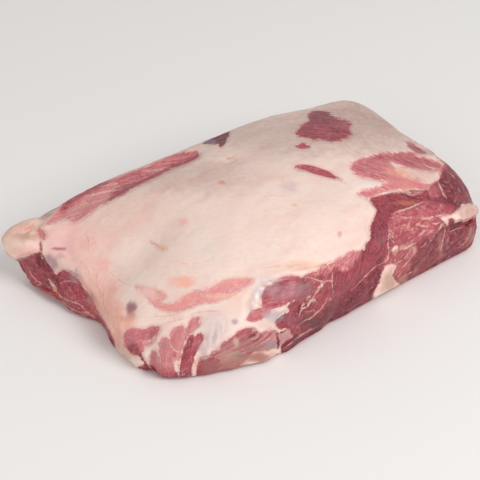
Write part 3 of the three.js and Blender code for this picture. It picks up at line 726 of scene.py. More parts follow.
CAMERA_STAINS_AND_PAINTED_LIGHT = {
    "grey membrane above the cleft": ((48.5, 259), (4.5, 5), "#AE8B98", 0.8),
    "grey patch above the cleft": ((60, 256), (6, 5), "#BC97A0", 0.6),
    "grey band below the cap": ((75, 276), (8, 8), "#B8919C", 0.6),
    "second grey band below the cap": ((91, 299), (5, 8), "#B28D90", 0.6),
    "red streak above the cleft": ((58, 248.5), (8, 1.8), "#BD6A70", 0.9),
    "red end of the streak": ((64, 249), (3, 2.4), "#B86068", 0.7),
    "red slash on the lump": ((27, 229), (7, 2.2), "#DF8672", 0.5),
    # Painted shadow below the fold of the lump.
    "shade below the fold of the lump": ((28, 237), (16, 5), "#CDA090", 0.6),
    "bruise": ((132, 308), (6, 9.5), "#93505F", 0.85),
    "orange stain below the bruise": ((127, 318), (11, 4), "#DE977C", 0.6),
    "peach blotch": ((184, 281), (13, 7), "#FFB09C", 0.75),
    "pink blotch": ((171, 282), (6, 6), "#F9BFB4", 0.6),
    "red specks": ((156, 246), (5, 4), "#F3A79C", 0.35),
    "orange specks": ((164, 249), (6, 4), "#F8B9A0", 0.6),
    "pink spot": ((183, 221), (6, 5), "#F2AFA6", 0.6),
    "orange speck": ((222, 182.5), (4.5, 2), "#E08E78", 0.9),
    "speck right of the middle": ((295, 205.5), (3, 2), "#F5B595", 0.8),
    "red speck": ((340, 234), (3, 4), "#E89A90", 0.8),
    "orange above the eye muscle": ((305, 266), (26, 6), "#F3BFA2", 0.6),
    "white membrane on the eye muscle": ((257, 291), (5, 10), "#EBE0DF", 0.85),
    "white membrane over the eye muscle": ((268, 280), (13, 3.5), "#EDE4E2", 0.8),
    "lilac membrane left of the eye muscle": ((251, 309), (3.5, 4.5), "#C6ABB8", 0.6),
    "blue fascia": ((273, 316), (12, 6), "#C6B4BC", 0.8),
    "pink fascia": ((265, 325), (12, 5), "#E0B7B0", 0.6),
    "lilac seam": ((204, 352), (5, 9), "#C2ACB2", 0.6),
    "purple stain": ((234.5, 322), (4, 3.5), "#B598A6", 0.85),
    "second purple stain": ((215, 337), (3, 10), "#C3AEB4", 0.6),
    "gristle": ((271, 345), (8, 5), "#A08F93", 0.85),
    "brown foot of the fourth muscle": ((258, 349), (13, 4), "#A37C70", 0.6),
    "pink of the foot corner": ((286, 337), (5, 5), "#B98080", 0.5),
    "salmon of the fan": ((405, 183), (24, 7), "#D88480", 0.6),
    "orange of the fan": ((398, 172), (14, 6), "#ECA48C", 0.6),
    "white fascia left of the fan": ((368, 183), (16, 4), "#EADAD6", 0.7),
    "tan lean at the right foot": ((425, 262), (34, 8), "#8C4740", 0.4),
    "brown lean at the right edge": ((468, 238), (10, 20), "#84453F", 0.35),
    "red lean by the white lumps": ((396, 256), (9, 8), "#A8434B", 0.6),
    "tan foot of the left end": ((40, 287), (16, 4), "#B98374", 0.35),
    "violet of the slash": ((210, 141.5), (8, 3), "#8F7583", 0.8),
    "pale left end of the streak": ((146, 293), (13, 10), "#FBD2C8", 0.75),
    "brown film of the dark lobe": ((208, 366), (10, 8), "#A56B64", 0.5),
    "lilac rib": ((221, 331), (1.6, 9), "#CDB3BC", 0.6),
    "second lilac rib": ((208, 342), (2, 8), "#C9AEB6", 0.6),
    "lilac left of the third muscle": ((201, 349), (3, 8), "#CDB2B8", 0.5),
    "mauve of the eye muscle": ((284, 291), (26, 14), "#AE7880", 0.55),
    "mauve right end of the eye muscle": ((304, 289), (12, 9), "#94666A", 0.6),
    "mauve of the dark muscle": ((289, 319), (9, 6), "#8E6268", 0.5),
    # Partly brown lean and partly painted shade, where the near face below the tendons is undercut.
    "brown below the tendons": ((311, 321), (12, 9), "#6A3A3B", 0.85),
    "pink edge of the foot": ((264, 361), (18, 3), "#CF8C7E", 0.6),
    "cream smudge of the end": ((424, 219), (10, 2.5), "#D9A08E", 0.5),
    "second cream smudge of the end": ((444, 216), (8, 2.5), "#DDAA98", 0.6),
    "third cream smudge of the end": ((408, 247), (9, 2.5), "#DDA795", 0.5),
    "orange of the torn lean": ((403, 268), (9, 6), "#B4615A", 0.6),
    "brown of the fourth muscle": ((246, 343), (24, 8), "#A2706A", 0.55),
    "second brown of the fourth muscle": ((224, 350), (12, 6), "#AC7A74", 0.45),
    "cream spot of the fourth muscle": ((236, 342), (3.5, 5), "#D9B4A2", 0.8),
    "pale film of the eye muscle": ((270, 288), (9, 7), "#CFA6AC", 0.45),
    "tan band of the end": ((441, 246), (4, 13), "#B97C6C", 0.6),
    "tan lean beside the fat patch": ((403, 281), (7, 6), "#C08A78", 0.6),
    "salmon of the strip": ((88, 206), (16, 7), "#E08A80", 0.4),
    "tan lean at the right edge": ((471, 233), (4, 13), "#B07066", 0.55),
    "crimson of the left cleft": ((41, 247), (1.8, 7), "#8E2430", 0.95),
    "tan strip below the fourth muscle": ((234, 356), (14, 4.5), "#BD9D8B", 0.9),
    "brown of the flange": ((257, 357), (16, 4.5), "#AC776E", 0.9),
    "pink veil of the left": ((100, 262), (12, 9), "#F3ABA2", 0.4),
    "second pink veil of the left": ((84, 244), (9, 6), "#F6B0AC", 0.4),
    "third pink veil of the left": ((112, 288), (9, 12), "#F1A898", 0.4),
    "fourth pink veil of the left": ((96, 306), (6, 10), "#ECA28F", 0.4),
    "orange veil above the near left": ((170, 317), (16, 4), "#F5C3AE", 0.3),
    "orange veil of the foot": ((118, 336), (5, 12), "#DB977F", 0.5),
    "pink veil of the near left": ((130, 322), (8, 5), "#EDA991", 0.5),
    "lilac veil of the left": ((66, 238), (14, 6), "#E9B4BC", 0.4),
    "orange rim of the streak": ((222, 297), (22, 4), "#F8C3AF", 0.6),
    # Painted shadow under the fold of the lump.
    "painted shadow under the fold of the lump": ((24, 236), (12, 3), "#C99C8A", 0.5),
    "white lump of the neck pit": ((230, 159.5), (4, 3), "#F5E6D8", 0.8),
    "mauve of the middle lobe": ((163, 344), (5, 8), "#B98791", 0.55),
    "mauve of the left lobe": ((153, 357), (4, 7), "#A66C79", 0.5),
    "salmon of the round lobe": ((178, 341), (10, 12), "#CE8784", 0.45),
    "salmon of the upper lobe": ((194, 325), (5, 7), "#DB8A82", 0.5),
    "red streak beside the fat spot": ((175, 356.5), (2, 6), "#B04C54", 0.7),
    "crimson right part of the third muscle": ((200, 339), (2.5, 5), "#BC4F5C", 0.5),
    "lilac rim of the slit": ((303, 170.5), (9, 1.8), "#B8979F", 0.5),
    "grey upper edge of the streak": ((200, 290.5), (8, 2.2), "#CBA3A6", 0.5),
    "crimson of the left end": ((42, 273), (16, 10), "#AA4B57", 0.4),
    "mauve of the first muscle": ((133, 336), (9, 8), "#B56F78", 0.4),
    "tan foot of the fourth muscle": ((232, 363), (19, 8), "#AC7C6E", 0.75),
    "brown foot of the dark lobe": ((213, 371), (13, 6), "#94605B", 0.5),
    "crimson below the fan": ((388, 200), (14, 6), "#A84752", 0.5),
    "cream lump of the end": ((414.5, 250), (3, 5), "#DDB09C", 0.6),
    # Painted highlights: four white glints on the wet rim of the eye muscle.
    "first white glint by the eye muscle": ((262, 288.5), (2.5, 2.5), "#F8F1EF", 0.9),
    "second white glint by the eye muscle": ((256.5, 296), (2, 4), "#F8F1EF", 0.9),
    "third white glint by the eye muscle": ((269, 283), (4, 1.6), "#F8F1EF", 0.9),
    "fourth white glint by the eye muscle": ((253, 303), (1.6, 3), "#F4ECEC", 0.8),
    "grey patch of the foot": ((241, 356), (7, 2.6), "#86686A", 0.6),
    "orange specks of the foot": ((225, 360), (5, 2), "#CF8D74", 0.6),
    "brown of the dark lobe": ((208, 364), (10, 8), "#9A5D58", 0.4),
    "orange streaks below the fan": ((407, 203), (15, 3), "#D07A63", 0.65),
    "second grey membrane above the cleft": ((54, 264), (4, 7), "#AB8896", 0.8),
}

# The sides that the camera doesn't see, finished like those it does.
# The far side is the cut along the shoulder: the edge of the cap, then three muscles with a seam of fat
# between them. The right end is the cut across it. The underside lies on the table, and is flat lean of
# five muscles, with seams and patches of fat between them.
SIDE_PATCHES = {
    "lean of the far side": patch(
        [(-124, -8), (-122, 14), (-112, 28), (-92, 40), (-60, 50), (-20, 55), (30, 58), (80, 57), (120, 54),
         (175, 46), (175, -8)],
        marbling=0.3, tone=0.6, grain=(30, 4), ragged=1.2, step=1.0),
    "upper muscle of the far side": patch(
        [(-108, 32), (-60, 49), (-20, 54), (50, 57), (110, 54), (150, 44), (99, 39), (29, 49), (-41, 45)],
        kind="tone", marbling=0.4, tone=0.44, grain=(30, 4), soft=3, belly=0.8, step=1.0),
    "right muscle of the far side": patch(
        [(34, 46), (99, 37), (160, 36), (170, -8), (60, -8), (50, 20)],
        kind="tone", marbling=0.35, tone=0.72, grain=(30, -12), soft=3, belly=1.0, step=1.0),
    "fat spot of the far side": patch(
        [(-88, 12), (-80, 17), (-74, 23), (-66, 20), (-64, 14), (-58, 9), (-67, 4), (-74, 8), (-82, 5)],
        kind="fat", ragged=1.6, grain=(30, 4)),
}
SIDE_PALE_LINES = {
    "long seam": (1.8, [(-112, 30), (-74, 39), (-41, 45), (-5, 48), (29, 49), (66, 45), (99, 39), (150, 32)]),
    "short seam": (1.5, [(29, 48), (38, 36), (47, 22), (54, 10), (59, -4)]),
    "left seam": (1.2, [(-60, -4), (-56, 12), (-46, 24), (-34, 34), (-24, 46)]),
    "fine marbling": (0.6, [(-100, 10), (-88, 22), (-70, 28)]),
    "second fine marbling": (0.6, [(-8, 12), (4, 24), (20, 30)]),
    "third fine marbling": (0.7, [(74, 12), (92, 20), (112, 20), (128, 28)]),
    "fourth fine marbling": (0.5, [(84, 30), (104, 30), (118, 36)]),
    "marbling of the upper muscle": (0.6, [(-40, 50), (-10, 52), (24, 54)]),
    "second marbling of the upper muscle": (0.6, [(56, 51), (80, 50), (106, 46)]),
}
SIDE_DARK_LINES = {
    "cleft below the long seam": (1.0, [(-100, 31), (-60, 39), (-20, 44), (20, 46)]),
    "cleft beside the short seam": (0.9, [(33, 44), (42, 32), (51, 16), (56, 2)]),
}
SIDE_VEINS = {
    "first vein": (0.5, [(-96, 56), (-84, 60), (-70, 61)]),
    "second vein": (0.4, [(-40, 61), (-24, 64), (-6, 63)]),
    "third vein": (0.5, [(60, 64), (78, 62), (92, 64)]),
    "fold of the lump": (0.7, [(-128, 48), (-135, 43), (-142, 40)]),
}
SIDE_CREASES = {
    "fold on the back of the lump": (1.4, 3.0, [(-128, 50), (-134, 44), (-142, 41)]),
    "wrinkle of the cap's edge": (0.6, 2.0, [(-80, 60), (-40, 63), (0, 63)]),
}
SIDE_FAT_SHADES = {
    "shade of the cap's edge": ((0, 62), (170, 8), "#D3B0A2", 0.5),
    "pink of the cap's edge": ((-60, 56), (40, 8), "#E6ACA0", 0.5),
    "tan of the lump": ((-138, 36), (24, 22), "#E2BDA9", 0.5),
}
SIDE_STAINS = {
    "membrane": ((-40, 22), (20, 12), "#B98F92", 0.5),
}
END_PATCHES = {
    "lean of the right end": patch(
        [(-100, -8), (-100, 66), (-70, 66), (-30, 66), (0, 64), (28, 60), (52, 54), (78, 47), (100, 44),
         (100, -8)],
        marbling=0.5, tone=0.7, grain=(20, 6), ragged=1.0, step=1.0),
    "upper muscle of the right end": patch(
        [(-90, 60), (-60, 66), (-20, 66), (20, 62), (54, 54), (70, 46), (58, 42), (16, 44), (-28, 31),
         (-70, 22), (-88, 30)],
        kind="tone", marbling=0.4, tone=0.78, grain=(4, 30), soft=3, belly=1.0, step=1.0),
    "round muscle of the right end": patch(
        [(14, 42), (50, 40), (84, 36), (92, 18), (84, 2), (50, -4), (33, 2), (26, 20)],
        kind="tone", marbling=0.6, tone=0.5, grain=(20, -8), soft=3, belly=1.2, step=1.0),
}
END_PALE_LINES = {
    "long seam": (1.8, [
        (-92, 14), (-70, 20), (-48, 25), (-28, 30), (-6, 37), (16, 44), (38, 44), (58, 42), (88, 38),
    ]),
    "short seam": (1.4, [(13, 43), (21, 32), (27, 20), (31, 8), (33, -4)]),
    "marbling": (0.7, [(-40, 12), (-20, 16), (0, 24), (12, 30)]),
    "second marbling": (0.6, [(-66, 40), (-50, 46), (-30, 46), (-14, 52)]),
    "third marbling": (0.6, [(44, 30), (58, 26), (70, 28)]),
    "fourth marbling": (0.6, [(48, 12), (62, 16), (76, 12)]),
    "fifth marbling": (0.5, [(-20, 56), (0, 54), (20, 52)]),
}
END_DARK_LINES = {
    "cleft below the long seam": (1.0, [(-60, 20), (-28, 28), (0, 37), (14, 41)]),
    "cleft beside the short seam": (0.9, [(24, 36), (30, 20), (35, 4)]),
}
END_FAT_SHADES = {
    "shade of the cap's edge": ((50, 62), (40, 10), "#C9A79B", 0.5),
}
END_STAINS = {
    "brown foot": ((-50, 6), (40, 8), "#8C544A", 0.4),
}
UNDER_PATCHES = {
    "lean of the underside": patch(
        [(-124, -84), (-60, -100), (0, -100), (90, -100), (170, -90), (175, 0), (170, 95), (60, 100),
         (-60, 100), (-165, 100), (-168, 40), (-140, 0)],
        marbling=0.4, tone=0.66, grain=(30, 6), ragged=0.5),
    "long muscle by the near side": patch(
        [(-130, -84), (-60, -106), (20, -106), (66, -96), (86, -66), (84, -32), (58, -48), (20, -56),
         (-18, -50), (-50, -38), (-84, -44), (-118, -34)],
        kind="tone", marbling=0.3, tone=0.72, grain=(30, 3), soft=2),
    "middle muscle of the underside": patch(
        [(-84, -44), (-50, -38), (-18, -50), (20, -56), (58, -48), (84, -30), (92, -4), (84, 22), (78, 48),
         (40, 60), (6, 50), (-30, 54), (-60, 40), (-92, 44), (-84, 14), (-92, -14)],
        kind="tone", marbling=0.45, tone=0.56, grain=(26, 12), soft=2),
    "right muscle of the underside": patch(
        [(84, -30), (104, -38), (132, -58), (152, -74), (176, -60), (176, 30), (150, 44), (110, 56), (78, 48),
         (84, 22), (92, -4)],
        kind="tone", marbling=0.5, tone=0.62, grain=(8, 30), soft=2),
    "far muscle of the underside": patch(
        [(-128, 66), (-92, 44), (-60, 40), (-30, 54), (6, 50), (40, 60), (78, 48), (110, 56), (150, 44),
         (172, 60), (150, 104), (-100, 104), (-140, 90)],
        kind="tone", marbling=0.25, tone=0.76, grain=(30, -4), soft=2),
    "left muscle of the underside": patch(
        [(-160, -18), (-118, -34), (-84, -44), (-92, -14), (-84, 14), (-92, 44), (-128, 66), (-164, 60)],
        kind="tone", marbling=0.4, tone=0.6, grain=(16, -20), soft=2),
    "fat in the fork of the seams": patch(
        [(76, 44), (84, 30), (91, 20), (96, 30), (104, 44), (118, 50), (136, 46), (126, 58), (108, 62),
         (92, 58), (80, 64), (66, 62), (50, 60), (64, 52)],
        kind="fat", ragged=2.4, grain=(30, 4)),
    "fat beside the left seam": patch(
        [(-124, -33), (-108, -42), (-94, -47), (-80, -46), (-84, -34), (-88, -22), (-94, -12), (-97, -24),
         (-104, -30)],
        kind="fat", ragged=2.4, grain=(26, -10)),
    "fat by the far rim": patch(
        [(-142, 64), (-126, 62), (-112, 56), (-100, 54), (-90, 60), (-84, 70), (-70, 74), (-58, 84),
         (-50, 104), (-96, 108), (-112, 88), (-128, 78)],
        kind="fat", ragged=2.4, grain=(30, 8)),
    "fat spot of the underside": patch(
        [(16, 2), (26, 8), (38, 8), (44, 2), (34, -2), (28, -7), (20, -4)],
        kind="fat", ragged=2.4, grain=(26, 12)),
}
UNDER_PALE_LINES = {
    "main seam": (1.7, [
        (-168, -10), (-140, -22), (-118, -34), (-84, -44), (-50, -38), (-18, -50), (20, -56), (58, -48),
        (84, -30), (104, -38), (132, -58), (158, -80),
    ]),
    "far seam": (1.5, [
        (-150, 78), (-128, 66), (-92, 44), (-60, 40), (-30, 54), (6, 50), (40, 60), (78, 48), (110, 56),
        (150, 44), (172, 50),
    ]),
    "left cross seam": (1.1, [(-84, -44), (-92, -14), (-84, 14), (-92, 44)]),
    "right cross seam": (1.3, [(84, -30), (92, -4), (84, 22), (78, 48)]),
    "branch to the near side": (0.9, [(-18, -50), (-8, -66), (-16, -80), (-10, -96)]),
    "branch to the far side": (0.8, [(6, 50), (16, 66), (10, 80), (18, 98)]),
    "branch to the right end": (0.9, [(92, -4), (112, 2), (132, -6), (160, 2)]),
    "marbling": (0.7, [(-66, -24), (-40, -10), (-22, -14), (-4, -2)]),
    "second marbling": (0.5, [(-56, 20), (-36, 24), (-22, 34), (-6, 34)]),
    "third marbling": (0.6, [(-6, -36), (18, -30), (34, -34), (52, -24)]),
    "fourth marbling": (0.5, [(44, 14), (56, 26), (58, 38)]),
    "fifth marbling": (0.6, [(-96, -66), (-70, -62), (-54, -70), (-36, -68)]),
    "sixth marbling": (0.5, [(24, -76), (42, -70), (58, -76)]),
    "seventh marbling": (0.6, [(112, -30), (120, -14), (134, -22)]),
    "eighth marbling": (0.5, [(118, 14), (128, 26), (142, 24)]),
    "ninth marbling": (0.5, [(-30, 76), (-10, 72), (-2, 80)]),
    "tenth marbling": (0.6, [(52, 78), (76, 72), (92, 80), (118, 76)]),
    "eleventh marbling": (0.5, [(-140, 4), (-124, 12), (-118, 28), (-104, 34)]),
}
UNDER_DARK_LINES = {
    "cleft along the main seam": (0.9, [(-62, -37), (-36, -41), (-16, -47), (12, -52)]),
    "cleft along the far seam": (0.9, [(-34, 56), (-8, 54), (18, 57), (38, 62)]),
    "cleft beside the right cross seam": (0.8, [(88, -22), (95, -6), (90, 12)]),
}
UNDER_STAINS = {
    "membrane of the middle muscle": ((-34, 4), (34, 20), "#C39A9A", 0.45),
    "dark core of the middle muscle": ((40, -8), (30, 26), "#8E3A46", 0.4),
    "membrane of the right muscle": ((124, -24), (22, 20), "#B98C90", 0.4),
    "pale part of the long muscle": ((-66, -66), (34, 14), "#C8938E", 0.4),
    "dark part of the long muscle": ((30, -78), (40, 16), "#7C303B", 0.4),
    "brown part of the far muscle": ((96, 80), (50, 16), "#8C524A", 0.4),
    "membrane of the left muscle": ((-122, 14), (20, 24), "#B5858C", 0.35),
}

# How the views join on the skin.
# A place takes its flesh from the camera's view where it faces the camera squarely enough and nothing stands
# before it, and from the far side, the right end or the underside where it doesn't.
GRAZING = (0.0, 0.16)  # how squarely a place faces the camera where its view begins to count, and to rule
VIEW_SHARPNESS = 3  # how soon each other view gives way as the skin turns from it
SEEN_LEAST = 0.02  # in all, below which a place takes the camera's view
LIFT = 1 * MM  # off the skin, where the look towards the camera starts
RIGHTWARDS = Vector((math.cos(CAMERA_AZIMUTH), math.sin(CAMERA_AZIMUTH), 0))
VIEWS = {
    "camera": {
        "unit": PIXEL, "across": RIGHTWARDS, "down": RIGHTWARDS.cross(back),
        "patches": {**CAP_PATCHES, **MUSCLE_PATCHES, **LEFT_PATCHES},
        "pale": CAMERA_PALE_LINES, "dark": CAMERA_DARK_LINES, "veins": CAMERA_VEINS,
        "creases": CAMERA_CREASES, "fat_shades": CAMERA_FAT_SHADES, "stains_and_painted_light": CAMERA_STAINS_AND_PAINTED_LIGHT,
    },
    "side": {
        "unit": 1.0, "across": Vector((1, 0, 0)), "down": Vector((0, 0, 1)), "faces": (-0.25, 1, 0.1),
        "patches": SIDE_PATCHES, "pale": SIDE_PALE_LINES, "dark": SIDE_DARK_LINES, "veins": SIDE_VEINS,
        "creases": SIDE_CREASES, "fat_shades": SIDE_FAT_SHADES, "stains_and_painted_light": SIDE_STAINS,
    },
    "end": {
        "unit": 1.0, "across": Vector((0, 1, 0)), "down": Vector((0, 0, 1)), "faces": (1, 0, 0.1),
        "patches": END_PATCHES, "pale": END_PALE_LINES, "dark": END_DARK_LINES, "veins": {}, "creases": {},
        "fat_shades": END_FAT_SHADES, "stains_and_painted_light": END_STAINS,
    },
    "under": {
        "unit": 1.0, "across": Vector((1, 0, 0)), "down": Vector((0, 1, 0)), "faces": (0, 0, -1),
        "patches": UNDER_PATCHES, "pale": UNDER_PALE_LINES, "dark": UNDER_DARK_LINES, "veins": {},
        "creases": {}, "fat_shades": {}, "stains_and_painted_light": UNDER_STAINS,
    },
}


def camera_places(points):
    """Where the camera sees each point, in pixels of the photo."""
    away = points - np.array(CAMERA_TARGET + back * CAMERA_DISTANCE)
    scale = LENS / SENSOR * PHOTO_SIZE / -(away @ np.array(back))
    across = away @ np.array(RIGHTWARDS) * scale
    up = away @ np.array(back.cross(RIGHTWARDS)) * scale
    return np.stack([PHOTO_SIZE / 2 + across, PHOTO_SIZE / 2 - up], 1)


def camera_share(points, normals, skin):
    """How far each point is seen by the camera: 0 where it faces away or something stands before it."""
    to_eye = np.array(CAMERA_TARGET + back * CAMERA_DISTANCE) - points
    to_eye /= np.linalg.norm(to_eye, axis=1)[:, None]
    share = smooth(*GRAZING, (to_eye * normals).sum(1))
    for i in np.flatnonzero(share):
        if skin.ray_cast(Vector(points[i] + normals[i] * LIFT), Vector(to_eye[i]))[0] is not None:
            share[i] = 0
    return share


def soak(places, unit, wander, stains_and_painted_light):
    """The colour that stains, shades and painted light give each place, and how strong it is. Each edge
    wanders.
    """
    colour = np.zeros((len(places), 3))
    strength = np.zeros(len(places))
    for (x, y), reach, hex_colour, full in stains_and_painted_light.values():
        strayed = places + wander * min(min(reach) * STRAY, STRAY_MOST / unit)
        away = np.hypot((strayed[:, 0] - x) / reach[0], (strayed[:, 1] - y) / reach[1])
        share = full * (1 - smooth(*STAIN_FADE, away))
        rest = strength * (1 - share)
        strength = share + rest
        mixed = share[:, None] * np.array(linear(hex_colour)[:3]) + rest[:, None] * colour
        colour = mixed / np.maximum(strength, FAINTEST)[:, None]
    return np.concatenate([colour, strength[:, None]], 1)


def read_lines(places, unit, lines):
    """The step to the nearest line, half the line's width there and the distance to it, in millimetres."""
    found = np.tile((FAR_OFF, FAR_OFF, 0, FAR_OFF), (len(places), 1))
    for half_width, points in lines.values():
        line = curve(points, closed=False)
        here = near(places, line, FAR_OFF / unit)
        away, step, along = offsets(places[here], line)
        width = half_width * unit * thinning(along)
        closer = away * unit - width < found[here, 3] - found[here, 2]
        at = here[closer]
        found[at, :2] = step[closer] * unit
        found[at, 2] = width[closer]
        found[at, 3] = np.minimum(away[closer] * unit, FAR_OFF)
    return found


def read_view(places, wander, view):
    """Reads every outline of one view at the places. Wander is the way in which stains stray there."""
    unit = view["unit"]
    found = {name: np.full(len(places), value) for name, value in PLAIN_FAT.items()}
    found["way"] = np.tile((1.0, 0.0), (len(places), 1))
    for number, drawn in enumerate(view["patches"].values()):
        line = curve(drawn["outline"], closed=True)
        here = near(places, line, FAR_OFF / unit)
        depth = np.minimum(offsets(places[here], line)[0] * unit, FAR_OFF)
        depth[~inside(places[here], line)] *= -1
        if drawn["kind"] == "fat":
            found["lean"][here] = np.minimum(found["lean"][here], -depth)
        else:
            share = smooth(-drawn["soft"] * unit, drawn["soft"] * unit, depth)
            if drawn["kind"] == "lean":
                over_fat = found["lean"][here] < 0
                share[over_fat] = smooth(*TONE_LEAD, depth[over_fat])
                found["lean"][here] = np.maximum(found["lean"][here], depth)
            for name in ("tone", "film", "marbling", "step"):
                found[name][here] += share * (drawn[name] - found[name][here])
        if drawn["kind"] != "tone":
            found["ragged"][here[depth > -FAR_OFF / 2]] = drawn["ragged"]
        within = here[depth > -FIBRE_LEAD]
        found["way"][within] = np.array(drawn["grain"]) / np.hypot(*drawn["grain"])
        found["muscle"][within] = number
        bulge = drawn["belly"] * (1 - smooth(0, BELLY_EDGE, np.abs(depth)))
        found["belly"][here] = np.maximum(found["belly"][here], bulge)
    for depth, width, points in view["creases"].values():
        away, _, along = offsets(places, curve(points, closed=False))
        sunk = depth * np.exp(-(away / width) ** 2) * thinning(along)
        found["crease"] = np.maximum(found["crease"], sunk)
    for name in ("pale", "dark", "veins"):
        found[name] = read_lines(places, unit, view[name])
    for name in ("fat_shades", "stains_and_painted_light"):
        found[name] = soak(places, unit, wander, view[name])
    return found


def fibre_places(points, normals, found, view):
    """Each point in millimetres along and across the fibres of its muscle, with a number for the muscle."""
    places = np.zeros((len(points), 3))
    for muscle in np.unique(found["muscle"]):
        here = found["muscle"] == muscle
        way = found["way"][here].mean(0)
        normal = normals[here].mean(0)
        along = way[0] * np.array(view["across"]) + way[1] * np.array(view["down"])
        along -= along @ normal / (normal @ normal) * normal
        across = np.cross(normal, along)
        places[here, 0] = points[here] @ along / np.linalg.norm(along)
        places[here, 1] = points[here] @ across / np.linalg.norm(across)
        places[here, 2] = muscle * MUSCLE_SHIFT
    return places


def flesh_map(piece):
    """What lies at each vertex of the piece: lean or fat, its tone and fibres, and the lines and stains."""
    mesh = piece.data
    points, normals = np.empty(len(mesh.vertices) * 3), np.empty(len(mesh.vertices) * 3)
    mesh.vertices.foreach_get("co", points)
    mesh.vertices.foreach_get("normal", normals)
    points, normals = points.reshape(-1, 3), normals.reshape(-1, 3)
    skin = BVHTree.FromPolygons([v.co for v in mesh.vertices], [p.vertices[:] for p in mesh.polygons])
    share = {"camera": camera_share(points, normals, skin)}
    for name in ("side", "end", "under"):
        facing = np.clip(normals @ VIEWS[name]["faces"], 0, 1)
        share[name] = (1 - share["camera"]) * facing ** VIEW_SHARPNESS
    share["camera"][sum(share.values()) < SEEN_LEAST] = 1
    total = sum(share.values())
    places = {
        "camera": camera_places(points), "side": points[:, (0, 2)] / MM, "end": points[:, (1, 2)] / MM,
        "under": points[:, (0, 1)] / MM,
    }
    wander_at = [Vector(p) / (WANDER_SIZE * MM) for p in points]
    wander = np.array([(noise(p), noise(p + WANDER_SHIFT)) for p in wander_at])
    found = {name: read_view(places[name], wander, view) for name, view in VIEWS.items()}
    first = np.argmax(list(share.values()), 0)
    flesh = {"points": points, "under": share["under"] / total, "grain": np.zeros(points.shape)}
    for name in ("lean", "tone", "film", "marbling", "step", "ragged", "belly", "crease"):
        flesh[name] = sum(share[v] * found[v][name] for v in VIEWS) / total
    for name in ("fat_shades", "stains_and_painted_light"):
        flesh[name] = sum(share[v][:, None] * found[v][name] for v in VIEWS) / total[:, None]
    for name in ("pale", "dark", "veins"):
        flesh[name] = np.choose(first[:, None], [found[v][name] for v in VIEWS])
    for number, (name, view) in enumerate(VIEWS.items()):
        here = first == number
        chosen = {"muscle": found[name]["muscle"][here], "way": found[name]["way"][here]}
        flesh["grain"][here] = fibre_places(points[here] / MM, normals[here], chosen, view)
    return flesh


# The relief of the skin.
# The lean lies a little lower than the fat, each muscle is rounded towards its seams, the clefts are sunk,
# and the fibres run as fine ridges. Where the block is fuller than the rounded solid, it is filled out first.
# All sizes and depths are in millimetres. FULLNESS holds each place, its reach and how much fuller it stands,
# or less full where that is below nought.
FULLNESS = {
    "far right hump": ((156, 36, 60), (36, 34, 32), 2.8),
    "saddle of the far right": ((142, 14, 60), (36, 30, 26), 1.3),
    "top of the far right hump": ((122, 62, 67), (34, 30, 20), -1.7),
    "far edge": ((66, 84, 68), (50, 34, 26), 2.0),
    "right end": ((164, -10, 30), (36, 80, 32), 2.4),
    "upper edge of the right end": ((155, -46, 46), (28, 36, 28), 1.5),
    "near right corner": ((146, -74, 22), (32, 32, 36), 3.4),
    "near right foot": ((80, -84, 10), (70, 40, 30), 2.0),
    "foot by the gristle": ((-50, -94, 8), (24, 30, 22), 3.2),
    "foot of the fourth muscle": ((-80, -93, 6), (20, 22, 20), -1.8),
    "foot of the third muscle": ((-119, -79, 6), (14, 18, 18), -1.2),
    "near left foot": ((-133, -56, 8), (22, 22, 22), 2.4),
    "waist of the left end": ((-138, 16, 9), (30, 38, 24), 4.2),
    "foot of the left end": ((-150, 52, 9), (26, 22, 24), -5.0),
    "foot below the lump": ((-157, 80, 16), (24, 22, 20), 1.4),
    "lump of fat": ((-150, 84, 42), (36, 36, 34), 1.8),
    "tip of the nodule": ((149, -72, 37), (20, 22, 18), -2.2),
}
MIDDLE = 0.5  # of a pattern that runs from 0 to 1
STEP_MOST = 2.0
STEP_EDGE = (-1.4, 1.0)  # from the outline of the lean, where the step begins and where it ends
BELLY_MOST = 2.0
CREASE_MOST = 3.0
CLEFT_DEPTH = 1.6
CLEFT_FLOOR = 0.2
CLEFT_REACH = 1.2
TENDON_HEIGHT = 0.35
TENDON_REACH = 1.1
TENDON_WIDTHS = (0.5, 1.0)  # half the width of a pale line that doesn't stand up yet, and of one that does
FIBRE_HEIGHT = 0.2
FIBRE_SIZE = (14, 2.4)  # along and across the fibres
SWELLING_HEIGHT = 0.8
SWELLING_SIZE = 19
SWELLING_DETAIL = (1.0, 2.0, 3)  # how smooth it is, how much finer each layer is, and the number of layers
SWELLING_SHARE = 0.6
PIT_DEPTH = 0.16
PIT_SIZE = 4.5
UNDERSIDE_SHARE = 0.35  # of the relief that the flat underside keeps


def weigh(piece, name, depth, weights):
    """Adds a displacement that moves the skin inwards by the depth times the weights."""
    group = piece.vertex_groups.new(name=name)
    for i in np.flatnonzero(weights > 0):
        group.add([int(i)], float(weights[i]), "REPLACE")
    relief = piece.modifiers.new(name, "DISPLACE")
    relief.vertex_group = name
    relief.mid_level = 0
    relief.strength = -depth * MM


skin_places = np.array([v.co for v in butt.data.vertices])
for name, (place, reach, fuller) in FULLNESS.items():
    away = np.linalg.norm((skin_places / MM - place) / reach, axis=1)
    weigh(butt, name, -fuller, 1 - smooth(0, 1, away))
run_modifiers(butt)

